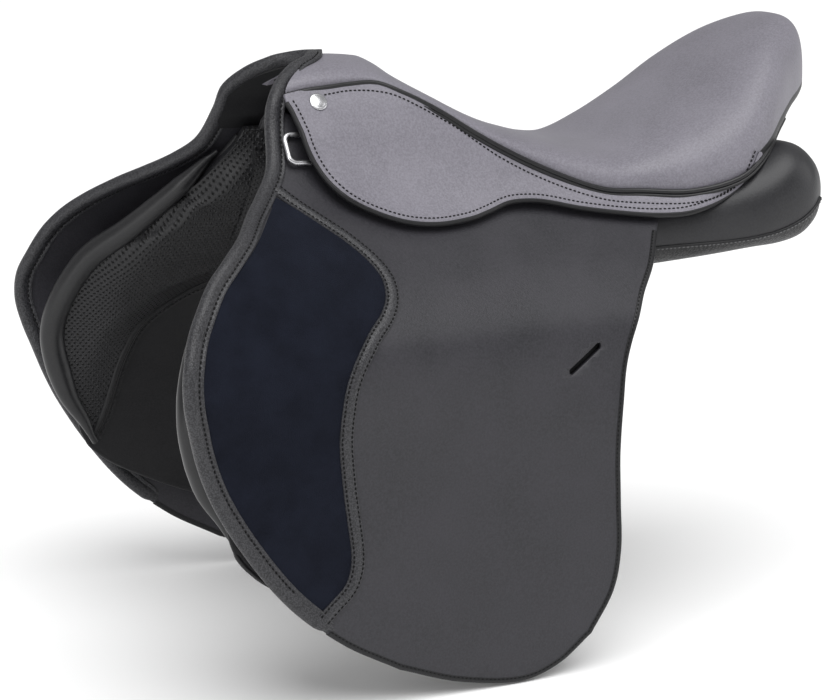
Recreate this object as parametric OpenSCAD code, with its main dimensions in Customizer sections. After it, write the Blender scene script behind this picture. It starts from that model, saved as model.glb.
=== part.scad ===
// English saddle, all-purpose cut, with knee inserts on the flaps.
// +X points to the horse's head, +Y to the near (left) side, +Z up.
// The origin is where the saddle's centre line bears on the horse's back, at mid seat.
// Shapes are drawn for the near side; the off side is their mirror image.

/* [Sizes] */
// Seat size, from the skirt stud to the middle of the cantle
seat_size = 406; // [380:1:440]
// Thickness of the main flap leather
flap_t = 4; // [3:0.5:5]
// Thickness of the skirt leather
skirt_t = 4; // [3:0.5:5]
// Thickness of the sweat flap leather
sweat_t = 3; // [2:0.5:3.5]
// Thickness of the seat cover
cover_t = 3; // [2:0.5:4]
// Thickness of the foam under the seat cover
foam_t = 11; // [8:1:12]

/* [Girth straps] */
// Width of a girth strap
strap_w = 25; // [22:1:28]
// Thickness of a girth strap
strap_t = 2.5; // [2:0.5:3]
// Length of a girth strap below its webbing
strap_l = 215; // [180:5:230]
// Distance between the middles of neighbouring straps
strap_pitch = 42; // [40:1:46]
// Radius of a punched buckle hole
strap_hole_r = 2.5; // [2:0.25:3]
// Number of punched holes in each strap
strap_holes = 7; // [4:1:8]

/* [Fittings] */
// Length of the stirrup bar
bar_l = 86; // [80:1:88]
// Height of the stirrup bar's flat section
bar_h = 12; // [10:1:14]
// Thickness of the stirrup bar
bar_t = 6; // [5:0.5:7]
// Wire radius of the front D ring
ring_r = 1.9; // [1.5:0.1:2.2]
// Radius of the skirt stud's head
stud_r = 6.5; // [5:0.5:8]
// Length of the slot in the main flap
slot_l = 31; // [26:1:45]
// Width of the slot in the main flap
slot_w = 5; // [4.5:0.5:8]

/* [Hidden] */
$fn = 32;

// ---------------------------------------------------------------- surfaces
// Leather, foam and tree are drawn for a 406 mm seat and scaled to the wanted one;
// metal fittings, holes and straps keep their own sizes and only move
k = seat_size / 406;

// The outer face of the main flap, by height z:
// [z, half-width at x = 100, gain further forward, knee bulge, flare to the rear, depth to the sweat flap]
FACE = [[-250, 165, 0, 0, 0, 13], [-200, 168, -2, 0, 0, 13], [-160, 169, -4, 0, 0, 13],
        [-130, 169, -4, 0, 0, 13], [-95, 169, -4, 0, 0, 15], [-60, 170, -1, 0, 0, 20],
        [-35, 169, 8, 0, 0, 29], [-15, 167, 12, 0, 0, 36], [0, 163, 13, 0, 0, 39],
        [14, 153, 14, 2, 0, 40], [32, 134, 15, 13, 5, 46], [49, 110, 15, 26, 22, 45],
        [60, 94, 12, 36, 32, 42], [72, 79, 8, 41, 41, 33], [86, 67, 3, 33, 48, 22],
        [104, 57, 0, 20, 55, 9], [128, 46, 0, 12, 55, 4], [150, 34, 0, 6, 55, 2], [175, 8, 0, 0, 55, 0]];

function clamp(v, a, b) = min(b, max(a, v));
function ease(t) = let(u = clamp(t, 0, 1)) u * u * (3 - 2 * u);
function face_row(z) = lookup_row(FACE, z);
// Straight-line reading of a table whose rows start with a rising key
function lookup_row(tab, key) =
    let(i = max([0, for (j = [0:len(tab) - 2]) if (tab[j][0] <= key) j]),
        t = clamp((key - tab[i][0]) / (tab[i + 1][0] - tab[i][0]), 0, 1))
    tab[i] * (1 - t) + tab[i + 1] * t;
// Straight-line reading of an edge given as [key, value] points, in either order
function edge(pts, key) = lookup(key, pts);
// Half-width of the flap's outer face
function face_y(x, z) =
    let(r = face_row(z))
    r[1] + r[2] * (x - 100) / 265 + r[3] * ease((x - 120) / 210) + r[4] * min(1.3, pow(max(0, -x) / 110, 2));
// Half-width of the sweat flap's outer face
function sweat_y(x, z) =
    let(d = 14 + (face_row(z)[5] - 14) * ease((x - 120) / 180))
    face_y(x, z) - d;

// A closed solid between two grids of points with the same rows and columns
module slab(outer, inner) {
    rows = len(outer);
    cols = len(outer[0]);
    n = rows * cols;
    pts = [for (r = outer) for (p = r) p, for (r = inner) for (p = r) p];
    faces = [
        for (i = [0:rows - 2], j = [0:cols - 2])
            let(a = i * cols + j, b = a + 1, c = a + cols, d = c + 1)
            each [[a, b, d], [a, d, c], [n + a, n + d, n + b], [n + a, n + c, n + d]],
        for (j = [0:cols - 2])
            let(a = j, b = j + 1, c = (rows - 1) * cols + j, d = c + 1)
            each [[a, n + a, n + b], [a, n + b, b], [c, d, n + d], [c, n + d, n + c]],
        for (i = [0:rows - 2])
            let(a = i * cols, b = a + cols, c = a + cols - 1, d = b + cols - 1)
            each [[a, b, n + b], [a, n + b, n + a], [c, n + c, n + d], [c, n + d, d]]];
    scale(k) polyhedron(pts, faces, convexity = 8);
}

// A closed solid through rings of points, each ring in its own plane
module loft(rings) {
    m = len(rings[0]);
    n = len(rings);
    pts = [for (r = rings) for (p = r) p];
    faces = [
        [for (j = [m - 1:-1:0]) j],
        [for (j = [0:m - 1]) (n - 1) * m + j],
        for (i = [0:n - 2], j = [0:m - 1])
            let(a = i * m + j, b = i * m + (j + 1) % m, c = a + m, d = b + m)
            each [[a, b, d], [a, d, c]]];
    scale(k) polyhedron(pts, faces, convexity = 8);
}

// Heights at which a piece of leather from z0 up to z1 is drawn: its own ones and those of FACE
function heights(z0, z1, own = []) =
    let(all = concat([z0, z1], own, [for (r = FACE) if (r[0] > z0 + 2 && r[0] < z1 - 2) r[0]]))
    sorted(all);
function sorted(v) =
    len(v) <= 1 ? v :
    let(p = v[floor(len(v) / 2)])
    concat(sorted([for (e = v) if (e < p) e]), [p], sorted([for (e = v) if (e > p) e]));

// Leather that lies between two offsets from the flap face, with its front and rear edge given by height
module hide(zs, front, rear, out_off, in_off, cols = 8) {
    outer = [for (z = zs) [for (j = [0:cols])
        let(x = edge(rear, z) + (edge(front, z) - edge(rear, z)) * j / cols)
        [x, face_y(x, z) + out_off, z]]];
    inner = [for (z = zs) [for (j = [0:cols])
        let(x = edge(rear, z) + (edge(front, z) - edge(rear, z)) * j / cols)
        [x, face_y(x, z) + in_off, z]]];
    slab(outer, inner);
}
// The same, measured from the sweat flap's face
module inner_hide(zs, front, rear, out_off, in_off, cols = 8) {
    outer = [for (z = zs) [for (j = [0:cols])
        let(x = edge(rear, z) + (edge(front, z) - edge(rear, z)) * j / cols)
        [x, sweat_y(x, z) + out_off, z]]];
    inner = [for (z = zs) [for (j = [0:cols])
        let(x = edge(rear, z) + (edge(front, z) - edge(rear, z)) * j / cols)
        [x, sweat_y(x, z) + in_off, z]]];
    slab(outer, inner);
}
module off_side() { mirror([0, 1, 0]) children(); }

// ---------------------------------------------------------------- outlines, seen from the side
flap_front = [[-247, 112], [-240, 160], [-223, 204], [-197, 248], [-159, 290], [-98, 331], [-46, 351],
              [-12, 357], [16, 350], [48, 330], [77, 291], [101, 258], [120, 245], [147, 240]];
flap_rear = [[-247, 112], [-239, 82], [-220, 57], [-191, 41], [-162, 36], [-126, 37], [-55, 36],
             [-21, 29], [10, 12], [30, -9], [52, -31]];
head_rear = [[51, -31], [60, -34], [66, -30], [72, 20], [80, 44], [86, 62], [97, 90], [100, 208], [128, 214], [147, 226]];
fold_z = 50;
fold_gap = 1;

// Skirt: [x, lower edge, upper edge]
SKIRT = [[-87, 70, 77], [-77, 65, 72], [-53, 59, 71], [-27, 59, 73], [-1, 62, 77], [29, 67, 87],
         [51, 72, 96], [65, 74, 103], [82, 74, 112], [100, 70, 123], [117, 67, 134], [142, 66, 149],
         [165, 69, 158], [186, 76, 157], [205, 86, 156], [216, 96, 156], [223, 108, 155], [229, 132, 154],
         [233, 146, 151]];
skirt_off = 12;
skirt_fold = [[60, 78], [80, 84], [226, 130]];

// Seat: [x on the centre line, half-width, height of its edge, height of its middle, squareness]
SEAT = [[183, 41, 156, 173, 2.2], [175, 40.5, 156, 172, 2.2], [165, 40, 156, 171, 2.2],
        [157, 38, 158, 169.5, 2.2], [145, 37.5, 157, 163.5, 2.2], [134, 44, 150, 157.5, 2.2],
        [110, 55, 130, 140.5, 2.4], [77, 65, 109, 124, 2.6], [42, 74, 91, 112, 2.8], [6, 82, 77, 103, 3],
        [-24, 86, 74, 102, 3], [-60, 96, 72, 115, 3], [-97, 101, 79, 135, 3], [-125, 94, 94, 156, 3],
        [-150, 75, 111, 173, 3.1], [-170, 57, 121, 182, 3], [-186, 43, 127, 184.5, 3],
        [-198, 30, 133, 179, 2.8], [-206, 14, 143, 166, 2.2]];
seat_steps = 12;
rake = 1.2;
// A point of the seat's surface, a depth below it; s runs from the off edge, -1, to the near edge, 1
function seat_pt(r, s, depth) =
    let(a = 90 * (1 - abs(s)),
        y = r[1] * pow(cos(a), 2 / r[4]) * sign(s),
        z = r[2] + (r[3] - r[2]) * pow(sin(a), 2 / r[4]),
        mid = [0, r[2] - 12],
        d = [y, z] - mid,
        q = mid + d * max(0.25, 1 - depth / norm(d)))
    [r[0] + rake * abs(q[0]) * ease((r[0] - 110) / 84) + depth * 0.5 * rear_end(r[0]), q[0], q[1]];
function rear_end(x) = ease((-160 - x) / 43);
function seat_grid(depth) =
    [for (r = SEAT) [for (i = [-seat_steps / 2:seat_steps / 2]) seat_pt(r, 2 * i / seat_steps, depth)]];

// Front curve of the knee roll's middle: [z, x, y]
ROLL = [[-122, 313, 139.5], [-110, 320, 139.5], [-90, 331, 141], [-70, 337, 143], [-50, 341, 143],
        [-35, 341, 141], [-20, 338, 136], [0, 330, 128], [20, 317, 118], [40, 295, 100],
        [60, 276, 84], [78, 260, 71], [91, 249, 64]];
roll_r = 9;
function roll_front(back) = [for (r = ROLL) [r[0], r[1] - back - 6 * ease((r[0] + 10) / 50)]];

// Panel cushion: [x, middle y, middle z, half-length, half-thickness, lean of the long axis]
PANEL = [[-177, 78, 62, 5, 6, 90], [-173, 78, 62, 16, 16, 90], [-165, 78, 63, 26, 27, 90],
         [-154, 78, 63, 34, 34, 90], [-138, 77, 61.5, 38, 36, 90], [-115, 75, 54, 38, 30.5, 90],
         [-85, 71, 47.5, 34, 27.5, 90], [-50, 64, 42, 31, 26, 90],
         [0, 61, 38, 28, 25, 90], [50, 60, 38, 27, 24, 90], [100, 58, 44, 30, 23, 68],
         [150, 57, 52, 36, 16, 50], [190, 61, 59, 44, 12, 42], [221, 65, 64, 48, 9, 39]];

// ---------------------------------------------------------------- inner pieces
module tree() {
    // Two laminated rails joined by the head arch and the cantle
    rail = [[124, 25, 128], [110, 26, 121], [77, 36, 103], [42, 46, 90], [6, 50, 80], [-24, 52, 77],
            [-60, 56, 80], [-97, 55, 96], [-125, 48, 112], [-146, 38, 122]];
    color([0.62, 0.47, 0.3]) {
        for (s = [1, -1]) loft([for (r = s > 0 ? rail : reverse(rail))
            [[r[0], s * (r[1] - 11), r[2] - 4], [r[0], s * (r[1] + 9), r[2] - 5],
             [r[0], s * (r[1] + 9), r[2] + 3], [r[0], s * (r[1] - 11), r[2] + 4]]]);
        loft([for (i = [-5:5]) let(y = 7.5 * i, t = abs(i) / 5)
            [[-165 + 22 * t * t, y, 152 - 20 * t * t], [-176 + 24 * t * t, y, 153 - 20 * t * t],
             [-172 + 24 * t * t, y, 132 - 8 * t * t], [-160 + 22 * t * t, y, 130 - 8 * t * t]]]);
        loft([for (i = [-5:5]) let(a = 90 - 15 * i, y = 34 * cos(a), z = 104 + 40 * sin(a))
            [[127, y, z - 4], [127, y * 0.8, z - 10], [152, y * 0.8, z - 4], [152, y, z + 2]]]);
    }
}
function reverse(v) = [for (i = [len(v) - 1:-1:0]) v[i]];

// An arch of sheet under the pommel, from x0 to the raked front edge
module arch(a, b, t, x0, x1, low, steps = 12) {
    function pt(i, x, d) =
        let(top = 101, u = -low + 2 * low * i / steps, y = (a - d) * sin(u), z = top + (b - d) * cos(u))
        [x, y, z];
    function lip(i) = let(y = abs(a * sin(-low + 2 * low * i / steps))) x1 + rake * y;
    outer = [for (j = [0:3]) [for (i = [0:steps]) pt(i, x0 + (lip(i) - x0) * j / 3, 0)]];
    inner = [for (j = [0:3]) [for (i = [0:steps]) pt(i, x0 + (lip(i) - x0) * j / 3, t)]];
    slab(outer, inner);
}
// The four screws through the gullet plate's ears, pointing outwards
screw_z = 113;
screw_in = 38.9;
module screw_places() {
    for (s = [1, -1], x = [176, 194]) translate(k * [x, s * screw_in, screw_z])
        rotate([-90 * s, 0, 0]) children();
}
module gullet_plate() {
    color([0.5, 0.51, 0.53]) difference() {
        arch(44, 55, 3, 160, 166, 80);
        screw_places() cylinder(r = 2.3, h = 12, center = true);
    }
}
module gullet_lining() { color([0.13, 0.13, 0.14]) arch(37, 50, 2, 160, 182, 82); }
module gullet_screws() {
    color([0.72, 0.72, 0.74]) screw_places() {
        translate([0, 0, -1.8]) cylinder(r1 = 3.4, r2 = 4, h = 1.4);
        translate([0, 0, -0.4]) cylinder(r = 2, h = 8);
    }
}
module seat_webbing() {
    color([0.75, 0.7, 0.6]) {
        for (s = [-1, 1]) loft([for (r = [[64, 101], [42, 93.5], [6, 84.5], [-24, 83], [-60, 87.5]])
            [[r[0], s * 13 - 9, r[1]], [r[0], s * 13 + 9, r[1]],
             [r[0], s * 13 + 9, r[1] + 1.5], [r[0], s * 13 - 9, r[1] + 1.5]]]);
    }
}
module seat_foam() { color([0.82, 0.78, 0.6]) slab(seat_grid(cover_t + 0.3), seat_grid(cover_t + foam_t)); }
module seat() { color([0.3, 0.3, 0.33]) slab(seat_grid(0), seat_grid(cover_t)); }

// A cord laid along a path of points, with an eight-sided section
module bead(path, r) {
    loft([for (i = [0:len(path) - 1])
        let(d = path[min(len(path) - 1, i + 1)] - path[max(0, i - 1)],
            f = d / norm(d),
            u = cross(f, [0, 0, 1]) / norm(cross(f, [0, 0, 1])),
            v = cross(f, u))
        [for (a = [0:45:359]) path[i] + r * (cos(a) * u + sin(a) * v)]]);
}
module seat_welt() {
    function at(i, s) = let(p = seat_pt(SEAT[i], s, 0)) [p[0], p[1] + 2.2 * s, p[2] - 1.2];
    color([0.1, 0.1, 0.11])
        for (s = [1, -1]) bead([for (i = [1:len(SEAT) - 5]) at(i, s)], 2);
}

// ---------------------------------------------------------------- skirts
// Skirt leather between two lines that rise and fall along the saddle
module skirt_sheet(xs, low, high, rows = 3) {
    function z_at(x, i) = low(x) + (high(x) - low(x)) * i / rows;
    slab([for (i = [0:rows]) [for (x = xs) [x, face_y(x, z_at(x, i)) + skirt_off, z_at(x, i)]]],
         [for (i = [0:rows]) [for (x = xs) [x, face_y(x, z_at(x, i)) + skirt_off - skirt_t, z_at(x, i)]]]);
}
function skirt_low(x) = lookup_row(SKIRT, x)[1];
function skirt_high(x) = lookup_row(SKIRT, x)[2] - 6;
function skirt_split(x) = max(skirt_low(x), edge(skirt_fold, x));
lobe_xs = [82, 90, 100, 117, 142, 165, 186, 205, 216, 223];
module skirt_top() {
    xs = sorted(concat([lobe_xs[0] - 0.5, lobe_xs[0] - 0.4], [for (r = SKIRT) if (r[0] != 82) r[0]]));
    color([0.3, 0.3, 0.33])
        skirt_sheet(xs, function (x) x < lobe_xs[0] - 0.45 || x > 224 ? skirt_low(x) : skirt_split(x) + 0.5,
                    function (x) max(skirt_high(x), skirt_low(x) + 1));
}
module skirt() {
    color([0.32, 0.32, 0.35])
        skirt_sheet(lobe_xs, function (x) skirt_low(x), function (x) skirt_split(x) - 0.5);
}
// Where the stud stands on the skirt
stud_at = [210, 0, 147];
module skirt_stud() {
    y = face_y(stud_at[0], stud_at[2]) + skirt_off;
    color([0.8, 0.8, 0.8])
        translate(k * [stud_at[0], y + 1.1, stud_at[2]]) rotate([-62, 0, 6]) {
            cylinder(r = stud_r, h = 1.6);
            translate([0, 0, 1.6]) cylinder(r1 = stud_r, r2 = stud_r - 1.6, h = 1);
        }
}

// ---------------------------------------------------------------- flaps
module flap_head() {
    color([0.24, 0.24, 0.26])
        hide(heights(fold_z + fold_gap, 147, [97, 100]), flap_front, head_rear, 0, -flap_t);
}
slot_at = [64.5, 0, -23];
slot_rise = 34;
module flap() {
    color([0.24, 0.24, 0.26]) difference() {
        hide(heights(-247, fold_z - fold_gap, [-243, -235, -223, -211, -180]), flap_front, flap_rear, 0, -flap_t, 10);
        translate(k * [slot_at[0], 150, slot_at[2]]) rotate([0, slot_rise, 0]) rotate([-90, 0, 0]) slot_cut();
    }
}
module slot_cut() {
    linear_extrude(40) hull() for (s = [-1, 1]) translate([s * (slot_l - slot_w) / 2, 0]) circle(d = slot_w);
}
band_w = 11;
module flap_band() {
    zs = heights(-222, fold_z - fold_gap, [-180, -211]);
    rear = [for (p = flap_front) [p[0], p[1] - band_w]];
    color([0.31, 0.31, 0.34]) hide(zs, flap_front, rear, 2.2, 0.7, 2);
}
insert_front = [[-172, 261], [-159, 276], [-98, 316.5], [-46, 336.5], [-12, 342.5], [16, 335.5], [46, 318]];
insert_rear = [[-172, 262], [-159, 248], [-145, 243], [-110, 246], [-83, 250], [-55, 252], [-27, 250], [-9, 243],
               [8, 230], [19, 216], [29, 207], [39, 206], [46, 209]];
module knee_insert() {
    color([0.13, 0.15, 0.2])
        hide(heights(-171, 46, [-166]), insert_front, insert_rear, 2, 0.7, 5);
}
piping_w = 8;
module insert_piping() {
    front = [for (p = insert_rear) [p[0], p[1] - 0.8]];
    rear = [for (p = insert_rear) [p[0], p[1] - piping_w]];
    color([0.28, 0.28, 0.31]) hide(heights(-171, 46), front, rear, 3, 0.7, 2);
}

// ---------------------------------------------------------------- sweat flaps, panels, blocks
sweat_front = concat([[-190, 218], [-178, 250], [-160, 286], [-146, 303], [-132, 313]],
                     [for (r = roll_front(roll_r + 2)) if (r[0] > -120) r], [[116, 222]]);
sweat_rear = [[-196, 140], [-190, 90], [-170, 70], [-100, 55], [0, 48], [18, 46], [20, 176], [40, 182],
              [60, 200], [116, 216]];
module sweat_flap() {
    color([0.12, 0.12, 0.13])
        inner_hide(heights(-196, 112, [-178, 18, 20, 40]), sweat_front, sweat_rear, 0, -sweat_t, 8);
}
front_rear_edge = [[-126, 306], [-110, 298], [-90, 292], [-60, 284], [-35, 268], [-15, 236], [0, 224], [98, 224]];
module panel_front() {
    zs = heights(-124, 98, [-110]);
    color([0.14, 0.14, 0.15])
        inner_hide(zs, roll_front(roll_r + 2), front_rear_edge, -sweat_t - 0.6, -sweat_t - 22, 5);
}
module knee_roll() {
    color([0.17, 0.17, 0.18]) bead([for (r = ROLL) [r[1], r[2], r[0]]], roll_r);
}
module panel() {
    color([0.15, 0.15, 0.16])
        loft([for (r = PANEL) [for (a = [0:22.5:359])
            let(u = r[3] * pow(abs(cos(a)), 0.8) * sign(cos(a)),
                v = r[4] * pow(abs(sin(a)), 0.8) * sign(sin(a)))
            [r[0], r[1] + u * sin(r[5]) + v * cos(r[5]), r[2] - u * cos(r[5]) + v * sin(r[5])]]]);
}
module knee_block() {
    front = [[-105, 309], [-60, 326], [-35, 329], [-15, 327], [14, 305], [28, 290]];
    rear = [[-105, 294], [-60, 280], [-35, 274], [-15, 268], [14, 262], [28, 262]];
    zs = heights(-104, 28);
    color([0.2, 0.2, 0.21]) slab(
        [for (z = zs) [for (j = [0:4])
            let(x = edge(rear, z) + (edge(front, z) - edge(rear, z)) * j / 4) [x, face_y(x, z) - flap_t - 2.5, z]]],
        [for (z = zs) [for (j = [0:4])
            let(x = edge(rear, z) + (edge(front, z) - edge(rear, z)) * j / 4) [x, sweat_y(x, z) + 1.2, z]]]);
}

// ---------------------------------------------------------------- girth straps
strap_x = [for (i = [1, 0, -1]) 107 + i * strap_pitch];
strap_pivot_z = 6;
guard_off = -flap_t - 1.5;
strap_off = -9.6;
module buckle_guard() {
    front = [[-120, 166], [-100, 172], [28, 172]];
    rear = [[-120, 50], [-100, 44], [28, 44]];
    color([0.16, 0.16, 0.17]) hide(heights(-118, 28), front, rear, guard_off, guard_off - 2.5, 5);
}
// Webbing from the tree over the panel's side to the straps: [z, depth below the flap face]
WEB = [[8, 9.6], [21, 11.2], [24.5, 15.5], [28, 22], [33, 26], [40, 25], [50, 17], [66, 8], [74, 20]];
module strap_webbing() {
    function at(x, r, d) = [x, face_y(x, r[0]) - r[1] - d, r[0]];
    color([0.75, 0.74, 0.7])
        for (x = strap_x)
            slab([for (r = WEB) [for (e = [-11, 11]) at(x + e, r, 0)]],
                 [for (r = WEB) [for (e = [-11, 11]) at(x + e, r, 1.8)]]);
}
hole_pitch = 18;
module girth_strap(x) {
    low = strap_pivot_z - strap_l;
    w = strap_w / 2;
    front = [[low, x + 4], [low + 12, x + w], [strap_pivot_z, x + w]];
    rear = [[low, x - 4], [low + 12, x - w], [strap_pivot_z, x - w]];
    color([0.2, 0.2, 0.21]) difference() {
        hide(heights(low, strap_pivot_z, [low + 12]), front, rear, strap_off, strap_off - strap_t, 1);
        for (i = [0:strap_holes - 1])
            translate(k * [x, 140, low + 34 + hole_pitch * i]) rotate([-90, 0, 0])
                cylinder(r = strap_hole_r, h = 40 * k);
    }
}

// ---------------------------------------------------------------- metal fittings
// The bar's middle line starts here, at its open rear end, and rises forwards
bar_at = [74, 51, 93];
bar_rise = 13;
bar_gap = 11;
module at_bar() { translate(k * bar_at) rotate([0, -bar_rise, 0]) children(); }
module stirrup_bar() {
    // A flat bar in front of its riveted back plate, open at the rear for the stirrup leather
    plate_t = 3;
    foot = 12;
    color([0.7, 0.7, 0.72]) at_bar() {
        translate([6, 0, -bar_h / 2]) cube([bar_l - 6, bar_t, bar_h]);
        translate([bar_l - foot, -bar_gap, -bar_h / 2]) cube([foot, bar_gap, bar_h]);
        translate([10, -bar_gap - plate_t, -bar_h / 2]) cube([bar_l - 10, plate_t, bar_h]);
    }
}
module bar_rivets() {
    color([0.6, 0.6, 0.62]) at_bar()
        for (x = [34, 62]) translate([x, -bar_gap, 0]) rotate([-90, 0, 0]) cylinder(r1 = 4, r2 = 3, h = 1.6);
}
catch_r = 4.5;
module stirrup_catch() {
    // Thumb catch that closes the bar's rear end when it stands up
    color([0.75, 0.75, 0.77]) at_bar() {
        rotate([-90, 0, 0]) cylinder(r = catch_r, h = bar_t);
        translate([-catch_r, 0, 0]) cube([2 * catch_r, bar_t, 9]);
    }
}
// Front ring: its rear leg turns in a leather chape under the skirt, its front leg shows before the skirt
ring_at = [219, 0, 117];
ring_w = 20;
ring_h = 21;
ring_lift = 3.9;
ring_turn = 6.5;
ring_lean = 34;
module at_ring() {
    translate(k * [ring_at[0], face_y(ring_at[0], ring_at[2]) + ring_lift, ring_at[2]])
        rotate([ring_lean, 0, 0]) rotate([0, 0, ring_turn]) children();
}
module ring_chape() {
    color([0.15, 0.15, 0.16]) at_ring() difference() {
        translate([-15, -2.8, -5]) cube([18, 5.6, 10]);
        cylinder(r = ring_r + 0.25, h = 40, center = true);
        translate([-16, -0.4, -6]) cube([14, 0.8, 12]);
    }
}
module front_ring() {
    c = 5;
    a = ring_h / 2;
    color([0.83, 0.83, 0.85]) at_ring() {
        for (x = [0, ring_w]) translate([x, 0, c - a]) cylinder(r = ring_r, h = ring_h - 2 * c);
        for (z = [-a, a]) translate([c, 0, z]) rotate([0, 90, 0]) cylinder(r = ring_r, h = ring_w - 2 * c);
        for (p = [[c, c - a, 180], [ring_w - c, c - a, 270], [ring_w - c, a - c, 0], [c, a - c, 90]])
            translate([p[0], 0, p[1]]) rotate([90, 0, 0]) rotate([0, 0, p[2]])
                rotate_extrude(angle = 90) translate([c, 0]) circle(r = ring_r);
    }
}

// ---------------------------------------------------------------- pommel band
module pommel_band() {
    // The stitched band over the pommel, from the near flap's front edge to the off one's
    half = [[0, 174.8], [5, 174], [12, 171.5], [19, 167], [27, 160.5], [33, 155]];
    path = concat(reverse([for (p = half) [-p[0], p[1]]]), [for (i = [1:len(half) - 1]) half[i]]);
    front = 195.5;
    wide = 9.5;
    function at(p, back, t) = [front + rake * abs(p[0]) - back, p[0] * (1 - t / 60), p[1] - t];
    color([0.31, 0.31, 0.34])
        slab([for (b = [wide, 0]) [for (p = path) at(p, b, 0)]],
             [for (b = [wide, 0]) [for (p = path) at(p, b, 6)]]);
}

// ---------------------------------------------------------------- the saddle
tree();
gullet_plate();
gullet_screws();
seat_webbing();
seat_foam();
seat();
seat_welt();
gullet_lining();
pommel_band();
skirt_top();  // skirt_top_near
off_side() skirt_top();  // skirt_top_off
skirt();  // skirt_near
off_side() skirt();  // skirt_off
skirt_stud();  // skirt_stud_near
off_side() skirt_stud();  // skirt_stud_off
flap_head();  // flap_head_near
off_side() flap_head();  // flap_head_off
flap();  // flap_near
off_side() flap();  // flap_off
flap_band();  // flap_band_near
off_side() flap_band();  // flap_band_off
knee_insert();  // knee_insert_near
off_side() knee_insert();  // knee_insert_off
insert_piping();  // insert_piping_near
off_side() insert_piping();  // insert_piping_off
sweat_flap();  // sweat_flap_near
off_side() sweat_flap();  // sweat_flap_off
panel();  // panel_near
off_side() panel();  // panel_off
panel_front();  // panel_front_near
off_side() panel_front();  // panel_front_off
knee_roll();  // knee_roll_near
off_side() knee_roll();  // knee_roll_off
knee_block();  // knee_block_near
off_side() knee_block();  // knee_block_off
buckle_guard();  // buckle_guard_near
off_side() buckle_guard();  // buckle_guard_off
strap_webbing();  // strap_webbing_near
off_side() strap_webbing();  // strap_webbing_off
girth_strap(strap_x[0]);  // front_strap_near
off_side() girth_strap(strap_x[0]);  // front_strap_off
girth_strap(strap_x[1]);  // middle_strap_near
off_side() girth_strap(strap_x[1]);  // middle_strap_off
girth_strap(strap_x[2]);  // rear_strap_near
off_side() girth_strap(strap_x[2]);  // rear_strap_off
stirrup_bar();  // stirrup_bar_near
off_side() stirrup_bar();  // stirrup_bar_off
bar_rivets();  // bar_rivets_near
off_side() bar_rivets();  // bar_rivets_off
stirrup_catch();  // stirrup_catch_near
off_side() stirrup_catch();  // stirrup_catch_off
ring_chape();  // ring_chape_near
off_side() ring_chape();  // ring_chape_off
front_ring();  // front_ring_near
off_side() front_ring();  // front_ring_off
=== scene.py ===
import math

import bmesh
import bpy
import numpy as np
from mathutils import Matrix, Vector


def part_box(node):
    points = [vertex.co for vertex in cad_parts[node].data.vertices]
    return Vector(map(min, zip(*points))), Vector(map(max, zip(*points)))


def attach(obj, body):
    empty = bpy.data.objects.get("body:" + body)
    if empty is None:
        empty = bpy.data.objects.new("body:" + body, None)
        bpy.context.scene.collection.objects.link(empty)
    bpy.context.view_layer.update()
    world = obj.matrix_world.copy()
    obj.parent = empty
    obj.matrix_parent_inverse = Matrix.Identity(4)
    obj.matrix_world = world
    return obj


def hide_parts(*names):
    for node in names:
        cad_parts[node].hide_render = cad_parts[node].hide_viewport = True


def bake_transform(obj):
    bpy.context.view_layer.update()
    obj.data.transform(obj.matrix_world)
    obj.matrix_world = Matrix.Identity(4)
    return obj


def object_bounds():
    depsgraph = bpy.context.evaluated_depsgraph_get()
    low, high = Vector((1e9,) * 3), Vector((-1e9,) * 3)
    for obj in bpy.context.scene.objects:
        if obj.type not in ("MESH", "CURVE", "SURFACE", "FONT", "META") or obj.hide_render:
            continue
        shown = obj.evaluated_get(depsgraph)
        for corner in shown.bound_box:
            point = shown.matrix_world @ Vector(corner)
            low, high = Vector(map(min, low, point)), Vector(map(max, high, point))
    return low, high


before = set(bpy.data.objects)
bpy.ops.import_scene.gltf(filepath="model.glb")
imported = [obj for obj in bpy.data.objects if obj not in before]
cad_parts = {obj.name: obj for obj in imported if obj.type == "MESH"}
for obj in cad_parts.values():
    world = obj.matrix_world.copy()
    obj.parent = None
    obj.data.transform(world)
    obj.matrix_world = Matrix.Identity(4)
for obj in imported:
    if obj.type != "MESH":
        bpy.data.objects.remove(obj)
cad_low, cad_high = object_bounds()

MM = 0.001
SIDES = (("near", 1), ("off", -1))


# ---------------------------------------------------------------- tables and curves
def ease(t):
    u = np.clip(t, 0, 1)
    return u * u * (3 - 2 * u)


def smooth_read(keys, values, at):
    """Smooth reading of values at rising keys, through every one of them."""
    keys = np.asarray(keys, float)
    values = np.asarray(values, float)
    shape = np.shape(at)
    at = np.clip(np.ravel(at), keys[0], keys[-1])
    i = np.clip(np.searchsorted(keys, at, side="right") - 1, 0, len(keys) - 2)
    slope = np.empty_like(values)
    slope[1:-1] = (values[2:] - values[:-2]) / (keys[2:] - keys[:-2])[:, None]
    slope[0] = (values[1] - values[0]) / (keys[1] - keys[0])
    slope[-1] = (values[-1] - values[-2]) / (keys[-1] - keys[-2])
    step = (keys[i + 1] - keys[i])[:, None]
    u = (at - keys[i])[:, None] / step
    out = (2 * u**3 - 3 * u**2 + 1) * values[i] + (u**3 - 2 * u**2 + u) * step * slope[i]
    out += (3 * u**2 - 2 * u**3) * values[i + 1] + (u**3 - u**2) * step * slope[i + 1]
    return out.reshape(shape + values.shape[1:])


def along(points):
    """Distance along a row of points at each of them."""
    return np.r_[0, np.cumsum(np.linalg.norm(np.diff(points, axis=0), axis=1))]


def resample(points, count):
    """The same row of points as count points a steady distance apart."""
    points = np.asarray(points, float)
    length = along(points)
    at = np.linspace(0, length[-1], count)
    return np.stack([np.interp(at, length, c) for c in points.T], -1)


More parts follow.
